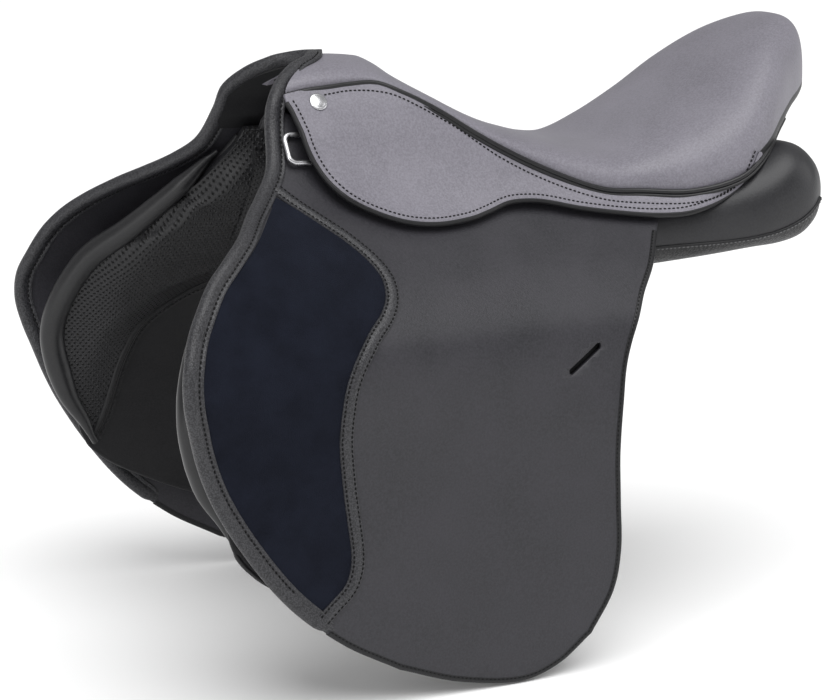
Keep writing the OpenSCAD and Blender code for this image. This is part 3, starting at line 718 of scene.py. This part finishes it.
def cut_slot(obj, side):
    """Cuts the stirrup-leather slot through the flap."""
    turn = np.linspace(0, 2 * np.pi, SLOT_SIDES, endpoint=False)
    ends = np.where(np.cos(turn) > 0, SLOT_HALF, -SLOT_HALF)
    ring = np.stack([ends + SLOT_R * np.cos(turn), SLOT_R * np.sin(turn)], -1)
    c, s = math.cos(SLOT_RISE), math.sin(SLOT_RISE)
    x = SLOT_X + ring[:, 0] * c - ring[:, 1] * s
    z = SLOT_Z + ring[:, 0] * s + ring[:, 1] * c
    rings = np.stack([np.stack([x, np.full(SLOT_SIDES, y * side), z], -1) for y in (CUT_FROM_Y, CUT_TO_Y)])
    cutter = piece("cutter", rings_solid(rings), EDGE_AND_SHADE_LEATHER)
    mod = obj.modifiers.new("slot", "BOOLEAN")
    mod.operation = "DIFFERENCE"
    mod.object = cutter
    mod.solver = "EXACT"
    done = bpy.data.meshes.new_from_object(obj.evaluated_get(bpy.context.evaluated_depsgraph_get()))
    obj.modifiers.clear()
    obj.data = done
    bpy.data.objects.remove(cutter)


def bend_with_flap(obj):
    """Bakes the piece's transform into its mesh."""
    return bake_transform(obj)


def band_path():
    """The front edge from the middle of the pommel down to the flap's foot."""
    pommel = np.array(POMMEL_EDGE)
    front = curve(FLAP_FRONT, 200)
    keep = front[(front[:, 1] < 122) & (front[:, 1] > -199)]
    line = lay(face_y, keep)
    whole = curve(np.concatenate([pommel, line[6::8]]), 260)
    out = normal_at(face_y, whole[:, 0], np.minimum(whole[:, 2], 168))
    crown = ease((whole[:, 2] - 158) / 16)[:, None]
    out = out * (1 - crown) + np.array([0.1, 0.0, 1.0]) * crown
    crown_y = ease((12 - whole[:, 1]) / 12)[:, None]
    out = out * (1 - crown_y) + np.array([0.1, 0.0, 1.0]) * crown_y
    return Path(whole, out, side=1)


BAND_PROFILE = [(11, 0.2), (10.9, 1.3), (10.3, 1.75), (9.3, 1.7), (8.6, 1.2), (7.9, 1.0), (7.2, 1.25),
                (6.5, 1.95),
                (5, 2.7), (3, 3.0), (1, 2.6), (-0.6, 1.5), (-1.5, 0), (-1.8, -2), (-1.5, -4), (-0.6, -5.5),
                (1, -6.5),
                (3, -6.9), (5, -6.6), (6.5, -6.0), (7.9, -5.1), (9.3, -5.7), (10.6, -5.6), (11, -4.2)]


BAND_SEAM = 7.9      # from the band's path in to its row of stitches
BAND_END = 24        # points at the band's foot left without stitches
EDGE_PROFILE = [(3.6, 0.0), (3.4, 0.35), (1.5, 0.7), (0, 0.5), (-0.7, -0.6), (-0.7, -3.4), (0, -4.5),
                (1.5, -4.8), (3.1, -4.45), (3.2, -4.0)]
PIPING_PROFILE = [(-5.2, 0.1), (-5.1, 1.5), (-4.6, 2.0), (-3.9, 1.6), (-3.2, 1.35), (-2.5, 1.7), (-1.2, 2.3),
                  (0.4, 2.5), (2, 2.2), (3.0, 1.5), (3.6, 1.2), (4.2, 1.3), (4.8, 1.1), (5.0, 0.1)]


def build_flap_cover(name, side):
    solid = leather(flap_net(), face_y, 0.0, -FLAP_T)
    flap = piece(f"flap_leather_{name}", solid, FLAP_LEATHER, side)
    cut_slot(flap, side)
    bend_with_flap(flap)
    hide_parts(f"flap_head_{name}", f"flap_{name}")


def build_flap_band(name, side):
    """The rounded front edge, mitred on the centre line; gives back its two rows of stitches."""
    path = band_path()
    points, faces, uv = ribbon(path, BAND_PROFILE, taper=22)
    mitre = len(BAND_PROFILE)
    points[:mitre] -= path.ahead[0] * (points[:mitre, 1] / path.ahead[0, 1])[:, None]
    band = piece(f"flap_band_{name}", (points, faces, uv), BAND_LEATHER, side)
    bend_with_flap(band)
    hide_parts(f"flap_band_{name}", *(["pommel_band"] if side == 1 else []))
    sewn = Path(path.points[:-BAND_END], path.out[:-BAND_END])
    inner = Path(sewn.points + BAND_SEAM * sewn.across - 5.3 * sewn.out, -sewn.out)
    return [stitches(sewn.beside(BAND_SEAM, 1.15)), stitches(inner)]


def build_flap_edge(name, side):
    """The thin bound edge round the foot and the rear; gives back its stitches."""
    rear = np.concatenate([curve(FLAP_LOW, 90)[:-1], curve(FLAP_REAR, 130)[:-3]])
    line = np.concatenate([curve(FLAP_FRONT, 200)[-27:-1], rear])
    path = surface_path(face_y, line)
    edge = piece(f"flap_edge_{name}", ribbon(path, EDGE_PROFILE), EDGE_AND_SHADE_LEATHER, side)
    bend_with_flap(edge)
    return [stitches(path.beside(2.6, 0.6), pitch=3.2, length=2.1, radius=0.45)]


def build_knee_insert(name, side):
    """The suede insert and the piping round it; gives back the piping's stitches."""
    front = curve(FLAP_FRONT, 300)
    front = front[(front[:, 1] < 93) & (front[:, 1] > -184)]
    front = resample(shifted(front, -9.5), 140)
    net = lens(curve(INSERT_REAR, 140), front, 41)
    suede = piece(f"knee_insert_suede_{name}", leather(net, face_y, 1.0, 0.2, edge=0.3), SUEDE, side)
    bend_with_flap(suede)
    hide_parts(f"knee_insert_{name}")
    middle = (curve(INSERT_REAR, 220) + curve(PIPING_REAR, 220)) / 2
    path = surface_path(face_y, middle)
    solid = ribbon(path, PIPING_PROFILE)
    piping = piece(f"insert_piping_{name}", solid, BAND_LEATHER, side)
    bend_with_flap(piping)
    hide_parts(f"insert_piping_{name}")
    return [stitches(path.beside(place, height), pitch=3.3, length=2.2)
            for place, height in ((-3.2, 1.6), (3.6, 1.4))]


def build_flap(name, side):
    build_flap_cover(name, side)
    rows = build_flap_band(name, side) + build_flap_edge(name, side) + build_knee_insert(name, side)
    sewn = piece(f"flap_stitches_{name}", joined(*rows), THREAD, side)
    bend_with_flap(sewn)


# ---------------------------------------------------------------- skirts
def build_skirt(name, side):
    low, high = curve(SKIRT_LOW, 150), curve(SKIRT_HIGH, 150)
    net = lens(low, high, 31)
    solid = leather(net, skirt_y, 0.0, -3.0, edge=0.9)
    skirt = piece(f"skirt_leather_{name}", solid, SEAT_LEATHER_PAINTED_LIGHT, side)
    path = surface_path(skirt_y, curve(SKIRT_LOW, 260))
    bound = [(1.2, 0.1), (0.7, 0.4), (-0.1, 0.35), (-0.9, -0.3), (-1.4, -1.4), (-1.2, -2.6), (-0.2, -3.5),
             (2.5, -3.6),
             (2.5, -2.8)]
    edge = piece(f"skirt_edge_{name}", ribbon(path, bound, taper=16), EDGE_AND_SHADE_LEATHER, side)
    raised = ribbon(path, [(3.1, -0.5), (3.1, 0.05), (2.6, 0.3), (2.0, 0.1), (1.9, -0.5)], taper=16)
    crease = piece(f"skirt_crease_{name}", raised, SEAT_LEATHER_PAINTED_LIGHT, side)
    upper = curve([[208, 150], [199, 151], [184, 152], [164, 150.5], [147, 145.5], [113, 126], [79, 101.5],
                   [45, 83.5],
                   [9, 70.5], [-21, 66], [-53, 64.5], [-80, 68], [-97, 75], [-107, 84]], 260)
    rows = joined(stitches(path.beside(4.6, 0.25), pitch=3.3, length=2.2),
                  stitches(surface_path(skirt_y, upper, side=1).beside(0, 0.25), pitch=3.3, length=2.1))
    sewn = piece(f"skirt_stitches_{name}", rows, THREAD, side)
    for obj in (skirt, edge, crease, sewn):
        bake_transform(obj)
    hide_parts(f"skirt_top_{name}", f"skirt_{name}")


# Turned profiles of the stud: [radius, height]
STUD_HEAD = [(6.0, -0.8), (6.5, -0.2), (6.6, 0.4), (6.3, 1.0), (5.7, 1.3), (5.0, 1.25), (4.6, 1.4), (3, 1.75),
             (1.2, 1.9), (0.2, 1.92)]
STUD_WASHER = [(7.3, -1.2), (7.7, -0.8), (7.5, -0.4), (6.4, -0.3)]


def turned(path, profile):
    """A profile turned about the first step of a path."""
    turn = np.linspace(0, 2 * np.pi, 40, endpoint=False)
    base, axis = path.points[0], path.points[1] - path.points[0]
    round_it = np.cos(turn)[:, None] * path.out[0] + np.sin(turn)[:, None] * path.across[0]
    return rings_solid(np.array([base + h * axis + r * round_it for r, h in profile]))


def build_stud(name, side):
    """A blank domed stud over a dark washer, turned from one profile."""
    low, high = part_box("skirt_stud_" + name)
    middle = (low + high) / 2 / MM
    n = normal_at(skirt_y, np.array([210.0]), np.array([147.0]))[0]
    base = np.array([middle.x, side * middle.y, middle.z]) - 1.4 * n
    flat = np.cross(n, [0, 0, 1.0])
    flat /= np.linalg.norm(flat)
    path = Path(np.array([base, base + n]), np.tile(flat, (2, 1)))
    head = piece(f"skirt_stud_head_{name}", turned(path, STUD_HEAD), CHROME, side)
    washer = turned(path, STUD_WASHER)
    ring = piece(f"skirt_stud_washer_{name}", washer, EDGE_AND_SHADE_LEATHER, side)
    for obj in (head, ring):
        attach(obj, "saddle")
    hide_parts(f"skirt_stud_{name}")


# ---------------------------------------------------------------- under the flap
ROLL = [[-128, 311, 141], [-121, 315, 139.5], [-110, 320, 139.5], [-90, 331, 141], [-70, 337, 143],
        [-50, 341, 143],
        [-35, 341, 141], [-20, 338, 136], [0, 330, 128], [20, 317, 118], [40, 295, 100], [60, 276, 84],
        [78, 260, 71],
        [92, 248, 64], [99, 240, 61]]
SWEAT_FRONT = [[140, -196], [190, -193], [218, -190], [250, -178], [286, -160], [303, -148], [316, -132],
               [322, -110], [325, -70],
               [329, -35], [318, 0], [304, 20], [284, 40], [265, 60], [250, 78], [228, 112]]
SWEAT_REAR = [[140, -196], [90, -190], [68, -168], [55, -100], [48, -40], [46, 6], [60, 16], [120, 22],
              [176, 26], [186, 44],
              [200, 60], [212, 88], [228, 112]]
FRONT_PANEL_EDGE = [[312, -124], [303, -106], [288, -64], [271, -36], [239, -16], [205, -6], [180, 2],
                    [160, 14]]


def roll_curve(count, back=0.0):
    c = curve([[x, y, z] for z, x, y in ROLL], count)
    return c - [back, 0, 0]


BINDING = [(6, 0.1), (5.8, 1.0), (3, 1.5), (0, 1.0), (-1.2, -0.6), (-1.2, -2.6), (0, -4.2), (3, -4.7),
           (5.8, -4.2),
           (6, -3)]
THIN_BINDING = [(2.6, 0.0), (1.2, 0.6), (0, 0.4), (-0.6, -0.6), (-0.6, -2.4), (0, -3.4), (1.2, -3.6),
                (2.6, -3.0)]
OFF_FOOT_LIFT = 6    # the off sweat flap's foot sits this much higher, as in the photo
# Knee block: heights, and its front and rear edges at them
BLOCK_Z = [-105, -60, -35, -15, 14, 28]
BLOCK_FRONT = [[309], [326], [329], [326], [305], [290]]
BLOCK_REAR = [[294], [280], [274], [268], [262], [262]]
BLOCK_FILL = 0.93    # share of the space between the flaps that the block fills
GUARD_REAR = [[52, -118], [44, -100], [44, -40], [44, 28]]
GUARD_FRONT = [[164, -118], [172, -100], [172, -40], [172, 28]]


def build_sweat_flap(name, side):
    """One sheet under the main flap, bound round its front and foot; gives back the front edge's path."""
    lift = ease((-100 - np.array(SWEAT_FRONT)[:, 1]) / 60) * (OFF_FOOT_LIFT if side < 0 else 0)
    front_line = curve(np.array(SWEAT_FRONT) + np.stack([0 * lift, lift], -1), 240)
    rear_line = np.array(SWEAT_REAR, float)
    rear_line[:2, 1] += lift[0]
    rear_line = curve(rear_line, 240)
    solid = leather(lens(rear_line[::2], front_line[::2], 41), sweat_y, 0.0, -3.0)
    sweat = piece(f"sweat_flap_leather_{name}", solid, LINING_LEATHER, side)
    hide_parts(f"sweat_flap_{name}")
    front = surface_path(sweat_y, front_line[front_line[:, 1] > -128], side=-1)
    foot = surface_path(sweat_y, front_line[front_line[:, 1] < -124], side=-1)
    downwards = Path(front.points[::-1], front.out[::-1])
    strips = joined(ribbon(downwards, BINDING, taper=20), ribbon(foot, THIN_BINDING, taper=10))
    bound = piece(f"sweat_flap_binding_{name}", strips, EDGE_AND_SHADE_LEATHER, side)
    for obj in (sweat, bound):
        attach(obj, "saddle")
    return front


def build_knee_roll(name, side):
    """The roll, thick in the middle and tapering to its ends."""
    line = roll_curve(120)
    path = Path(line, normal_at(sweat_y, line[:, 0], line[:, 2]))
    share = np.linspace(0, 1, len(line))
    size = 9.2 * np.clip(np.minimum(share * 4.5, (1 - share) * 8), 0.12, 1) ** 0.6
    size = size * (1 - 0.28 * ease((share - 0.55) / 0.45))
    turn = np.linspace(0, 2 * np.pi, 28, endpoint=False)
    rings = line[:, None] + size[:, None, None] * (np.cos(turn)[None, :, None] * path.across[:, None]
                                                   + np.sin(turn)[None, :, None] * path.out[:, None])
    roll = piece(f"knee_roll_{name}_cover", rings_solid(rings), ROLL_LEATHER, side)
    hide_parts(f"knee_roll_{name}")
    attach(roll, "saddle")


def build_front_panel(name, side):
    """The perforated front of the panel, crowned between the roll, the welt and the head."""
    lead = np.concatenate([roll_curve(40, back=6)[:-2, [0, 2]], [[231, 108], [226, 120]]])
    lead = curve(lead, 130)
    foot = curve(FRONT_PANEL_EDGE[::-1], 70)
    foot[-1] = lead[0]
    rear = curve([foot[0], [157, 60], [170, 114]], 130)
    head = curve([rear[-1], [190, 118], [209, 120], lead[-1]], 70)
    u = np.linspace(0, 1, 70)[None, :]
    v = np.linspace(0, 1, 130)[:, None]
    crown = (ease((1 - u) * 2.6) * ease(v * 5) * ease((1 - v) * 4)) ** 0.7
    back = -9.0 - 13.0 * crown * (0.8 + 0.2 * np.sin(np.pi * u))
    solid = leather(patch(foot, head, rear, lead), sweat_y, -3.4, back, edge=0.6)
    cover = piece(f"panel_front_cover_{name}", solid, PERFORATED, side)
    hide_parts(f"panel_front_{name}")
    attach(cover, "saddle")


def build_panel_welt(name, side, front):
    """The welt where the front panel meets the sweat flap, and the stitches of both."""
    line = surface_path(sweat_y, curve(FRONT_PANEL_EDGE, 160))
    cords = joined(ribbon(line, circle(2.5, 12, 0.5, -8.0)), ribbon(line, circle(1.8, 12, -3.2, -5.0)),
                   ribbon(line, [(-9.4, -2.8), (-9, -4.4), (-4, -4.6), (-4, -2.8)]))
    welt = piece(f"panel_welt_{name}", cords, EDGE_AND_SHADE_LEATHER, side)
    down = Path(line.points - 7.2 * line.across - 4.7 * line.out, -line.out)
    inside = Path(front.points + 4.6 * front.across - 4.6 * front.out, -front.out)
    rows = joined(stitches(down), stitches(inside), stitches(front.beside(4.4, 1.3)))
    sewn = piece(f"sweat_flap_stitches_{name}", rows, GREY_THREAD, side)
    for obj in (welt, sewn):
        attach(obj, "saddle")


def build_knee_block(name, side):
    """The foam block between the flap and the sweat flap."""
    z = np.linspace(-104, 28, 60)
    front = smooth_read(BLOCK_Z, BLOCK_FRONT, z)[:, 0]
    rear = smooth_read(BLOCK_Z, BLOCK_REAR, z)[:, 0]
    net = lens(np.stack([rear, z], -1), np.stack([front, z], -1), 21)
    depth = face_y(net[..., 0], net[..., 1]) - sweat_y(net[..., 0], net[..., 1])
    solid = leather(net, face_y, -FLAP_T - 3.0, 2.5 - BLOCK_FILL * depth, edge=3.0)
    block = piece(f"knee_block_{name}_foam", solid, BLOCK_FOAM, side)
    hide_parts(f"knee_block_{name}")
    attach(block, "saddle")


def build_guard(name, side):
    """The buckle guard: a loose leaf over the girth straps."""
    net = lens(curve(GUARD_REAR, 60), curve(GUARD_FRONT, 60), 31)
    solid = leather(net, face_y, -FLAP_T - 1.2, -FLAP_T - 3.0)
    guard = piece(f"buckle_guard_{name}_leaf", solid, LINING_LEATHER, side)
    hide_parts(f"buckle_guard_{name}")
    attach(guard, "saddle")


def build_under(name, side):
    front = build_sweat_flap(name, side)
    build_knee_roll(name, side)
    build_front_panel(name, side)
    build_panel_welt(name, side, front)
    build_knee_block(name, side)
    build_guard(name, side)


# ---------------------------------------------------------------- panels
# [x, middle y, middle z, half-length, half-thickness, lean of the long axis]
PANEL = np.array([
    [-177, 78, 62, 4, 5, 90], [-175.5, 78, 62, 12, 12, 90], [-171, 78, 62.5, 20, 21, 90],
    [-165, 78, 63, 27, 28, 90],
    [-154, 78, 63.5, 34, 35, 90], [-138, 77, 62, 38, 37, 90], [-115, 75, 55.5, 39, 32, 90],
    [-85, 71, 48, 35, 28, 90], [-50, 64, 42, 31, 26, 90], [0, 61, 38, 28, 25, 90], [50, 60, 38, 27, 24, 90],
    [100, 58, 44, 30, 23, 68], [150, 57, 52, 36, 16, 50], [190, 61, 59, 44, 12, 42],
    [221, 65, 64, 48, 9, 39]], float)


# Gusset seam on the panel's outer side: [x, z]
SEAM = np.array([[20.0, 31], [-40, 32], [-70, 33], [-100, 35], [-125, 39], [-145, 46], [-158, 54],
                 [-166, 60]])


def panel_section(rows, turn):
    """Rings of points at angles round the cushion, one for each row of sizes."""
    u = rows[:, 3:4] * np.abs(np.cos(turn)) ** 0.85 * np.sign(np.cos(turn))
    v = rows[:, 4:5] * np.abs(np.sin(turn)) ** 0.85 * np.sign(np.sin(turn))
    lean = np.radians(rows[:, 5:6])
    x = np.broadcast_to(rows[:, 0:1], u.shape)
    return np.stack([x, rows[:, 1:2] + u * np.sin(lean) + v * np.cos(lean),
                     rows[:, 2:3] - u * np.cos(lean) + v * np.sin(lean)], -1)


def seam_height(x):
    return float(np.interp(x, SEAM[::-1, 0], SEAM[::-1, 1]))


def build_panel_cover(name, side):
    """The cushion: plain above the gusset seam, pebbled below it and perforated towards the front."""
    key = along(PANEL[:, [0, 3, 4]])
    rows = smooth_read(key, PANEL, np.linspace(0, key[-1], 150))
    turn = math.radians(-24) + np.linspace(0, 2 * np.pi, 72, endpoint=False)
    solid = rings_solid(panel_section(rows, turn))
    cover = piece(f"panel_cover_{name}", solid, SOFT_LEATHER, side)
    cover.data.materials.append(PERFORATED)
    cover.data.materials.append(PEBBLED)
    for f in cover.data.polygons:
        c = f.center
        under = c.z < (0.052 - 0.02 * (c.x > 0)) or c.x > 0.06
        f.material_index = 1 if under and c.x > -0.02 else (2 if c.z < seam_height(c.x / MM) * MM else 0)
    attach(cover, "saddle")
    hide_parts(f"panel_{name}")


def seam_line():
    """The gusset seam, read off the cushion's outer side and evened out."""
    turn = np.linspace(-np.pi, np.pi, 721)
    found = []
    for x, z in curve(SEAM, 120):
        ring = panel_section(smooth_read(PANEL[:, 0], PANEL, np.array([x])), turn)[0]
        outside = ring[ring[:, 1] > ring[:, 1].mean()]
        found.append(outside[np.abs(outside[:, 2] - z).argmin()])
    line = resample(np.array(found), 120)
    line[1:-1] = (line[:-2] + line[1:-1] * 2 + line[2:]) / 4
    return line


def build_panel(name, side):
    build_panel_cover(name, side)
    line = seam_line()
    out = line - np.array([-90.0, 75, 60])
    out[:, 0] *= 0.4
    path = Path(line, out)
    cord = ribbon(path, circle(1.4, 10, 0, 0.2))
    seam = piece(f"panel_seam_{name}", cord, EDGE_AND_SHADE_LEATHER, side)
    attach(seam, "saddle")
    row = stitches(path.beside(0, 1.5), pitch=3.2, length=2.2, radius=0.5)
    sewn = piece(f"panel_seam_stitches_{name}", row, PALE_THREAD, side)
    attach(sewn, "saddle")


# ---------------------------------------------------------------- pommel lining
def build_lining():
    """Smooth leather under the pommel, from the bands' inner edge back over the head arch."""
    near = curve(np.array(POMMEL_EDGE + [[250, 60, 119]]), 40)
    edge = np.concatenate([near[::-1], (near * [1, -1, 1])[1:]])
    depths = np.linspace(0, 1, 24)
    middle = np.array([0, 0, 100.0])
    outer, inner = [], []
    for d in depths:
        ring = edge.copy()
        ring[:, 0] = ring[:, 0] - 3 - (ring[:, 0] - 3 - 152) * d
        radial = ring - middle
        radial[:, 0] = 0
        radial /= np.linalg.norm(radial, axis=1)[:, None]
        ring = ring - radial * (5.5 + 7 * d)
        outer.append(ring)
        inner.append(ring - radial * 2.0)
    outer, inner = np.array(outer), np.array(inner)
    rows, cols, _ = outer.shape
    n = rows * cols
    rim = border(rows, cols)
    flat = rim[:, 0] * cols + rim[:, 1]
    faces = net_faces(rows, cols) + net_faces(rows, cols, n)
    faces += np.stack([flat, np.roll(flat, -1), n + np.roll(flat, -1), n + flat], -1).tolist()
    points = np.concatenate([outer.reshape(-1, 3), inner.reshape(-1, 3)])
    lining = piece("gullet_lining_leather", (points, faces, points[:, [0, 1]]), LINING_LEATHER)
    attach(lining, "saddle")
    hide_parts("gullet_lining")


# ---------------------------------------------------------------- carried-over CAD parts
CARRIED = {
    "tree": WOOD, "gullet_plate": PLATE, "gullet_screws": STEEL, "seat_webbing": WEBBING,
    "strap_webbing": WEBBING,
    "front_strap": STRAP_LEATHER, "middle_strap": STRAP_LEATHER, "rear_strap": STRAP_LEATHER,
    "stirrup_bar": STEEL, "bar_rivets": STEEL, "stirrup_catch": STEEL, "ring_chape": STRAP_LEATHER,
    "front_ring": CHROME}


def dress_cad():
    """Gives every CAD node that stays its material, and softens its edges."""
    for node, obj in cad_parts.items():
        kind = node.replace("_near", "").replace("_off", "")
        if kind not in CARRIED:
            continue
        obj.data.materials.clear()
        obj.data.materials.append(CARRIED[kind])
        for f in obj.data.polygons:
            f.use_smooth = True
        bevel = obj.modifiers.new("soft_edges", "BEVEL")
        bevel.width = (0.25 if CARRIED[kind] in (STEEL, CHROME, PLATE) else 0.5) * MM
        bevel.segments = 2
        bevel.limit_method = "ANGLE"
        bevel.angle_limit = math.radians(40)
        bevel.harden_normals = True


# ---------------------------------------------------------------- studio
FLOOR_HALF = 30.0    # metres
CAMERA_TARGET = (94.3, -31.0, -56.2)
CAMERA_AZIMUTH, CAMERA_ELEVATION = math.radians(26), math.radians(13.5)
CAMERA_DISTANCE = 1890
CAMERA_LENS = 109.25


def softbox(middle, label, place, size, watts):
    """A rectangular lamp aimed at the middle of the saddle."""
    light = bpy.data.lights.new(label, "AREA")
    light.shape = "RECTANGLE"
    light.size, light.size_y = size
    light.energy = watts
    lamp = bpy.data.objects.new(label, light)
    lamp.location = middle + Vector(place)
    lamp.rotation_mode = "QUATERNION"
    lamp.rotation_quaternion = (-Vector(place)).to_track_quat("-Z", "Y")
    bpy.context.scene.collection.objects.link(lamp)


def build_studio():
    floor_mesh = bpy.data.meshes.new("floor")
    half = FLOOR_HALF
    z = cad_low.z - 2 * MM
    floor_mesh.from_pydata([(-half, -half, z), (half, -half, z), (half, half, z), (-half, half, z)], [],
                           [(0, 1, 2, 3)])
    floor = bpy.data.objects.new("floor", floor_mesh)
    bpy.context.scene.collection.objects.link(floor)
    pale = Nodes("pale_floor")
    tone = pale.noise(pale.place(rest=False), 900, 2)
    floor_mesh.materials.append(pale.done(pale.blend(tone, (0.93, 0.93, 0.93), (0.96, 0.96, 0.96)), 0.9))
    world = bpy.data.worlds.new("studio")
    bpy.context.scene.world = world
    world.use_nodes = True
    world.node_tree.nodes["Background"].inputs["Color"].default_value = (1, 1, 1, 1)
    world.node_tree.nodes["Background"].inputs["Strength"].default_value = 0.42
    sun = bpy.data.lights.new("overhead_sun", "SUN")
    sun.energy = 2.7
    sun.angle = math.radians(55)
    overhead = bpy.data.objects.new("overhead_sun", sun)
    overhead.rotation_mode = "QUATERNION"
    overhead.rotation_quaternion = Vector((-0.05, -0.42, -1)).to_track_quat("-Z", "Y")
    bpy.context.scene.collection.objects.link(overhead)
    middle = (cad_low + cad_high) / 2
    softbox(middle, "front_softbox", (1.9, 1.0, 0.7), (0.7, 1.4), 9)
    softbox(middle, "rear_softbox", (-1.8, 0.9, 0.8), (0.9, 1.4), 7)
    camera_data = bpy.data.cameras.new("camera")
    camera = bpy.data.objects.new("camera", camera_data)
    bpy.context.scene.collection.objects.link(camera)
    azimuth, elevation, distance = CAMERA_AZIMUTH, CAMERA_ELEVATION, CAMERA_DISTANCE * MM
    back = Vector((math.sin(azimuth) * math.cos(elevation), math.cos(azimuth) * math.cos(elevation),
                   math.sin(elevation)))
    target = Vector(CAMERA_TARGET) * MM
    camera.location = target + back * distance
    camera.rotation_mode = "QUATERNION"
    camera.rotation_quaternion = (-back).to_track_quat("-Z", "Y")
    camera_data.sensor_width = 36
    camera_data.lens = CAMERA_LENS
    camera_data.clip_start, camera_data.clip_end = 0.05, 100
    bpy.context.scene.camera = camera
    bpy.context.scene.view_settings.view_transform = "Standard"


build_seat()
build_seat_welt()
build_lining()
for side_name, side_sign in SIDES:
    build_flap(side_name, side_sign)
    build_skirt(side_name, side_sign)
    build_stud(side_name, side_sign)
    build_under(side_name, side_sign)
    build_panel(side_name, side_sign)
dress_cad()
build_studio()
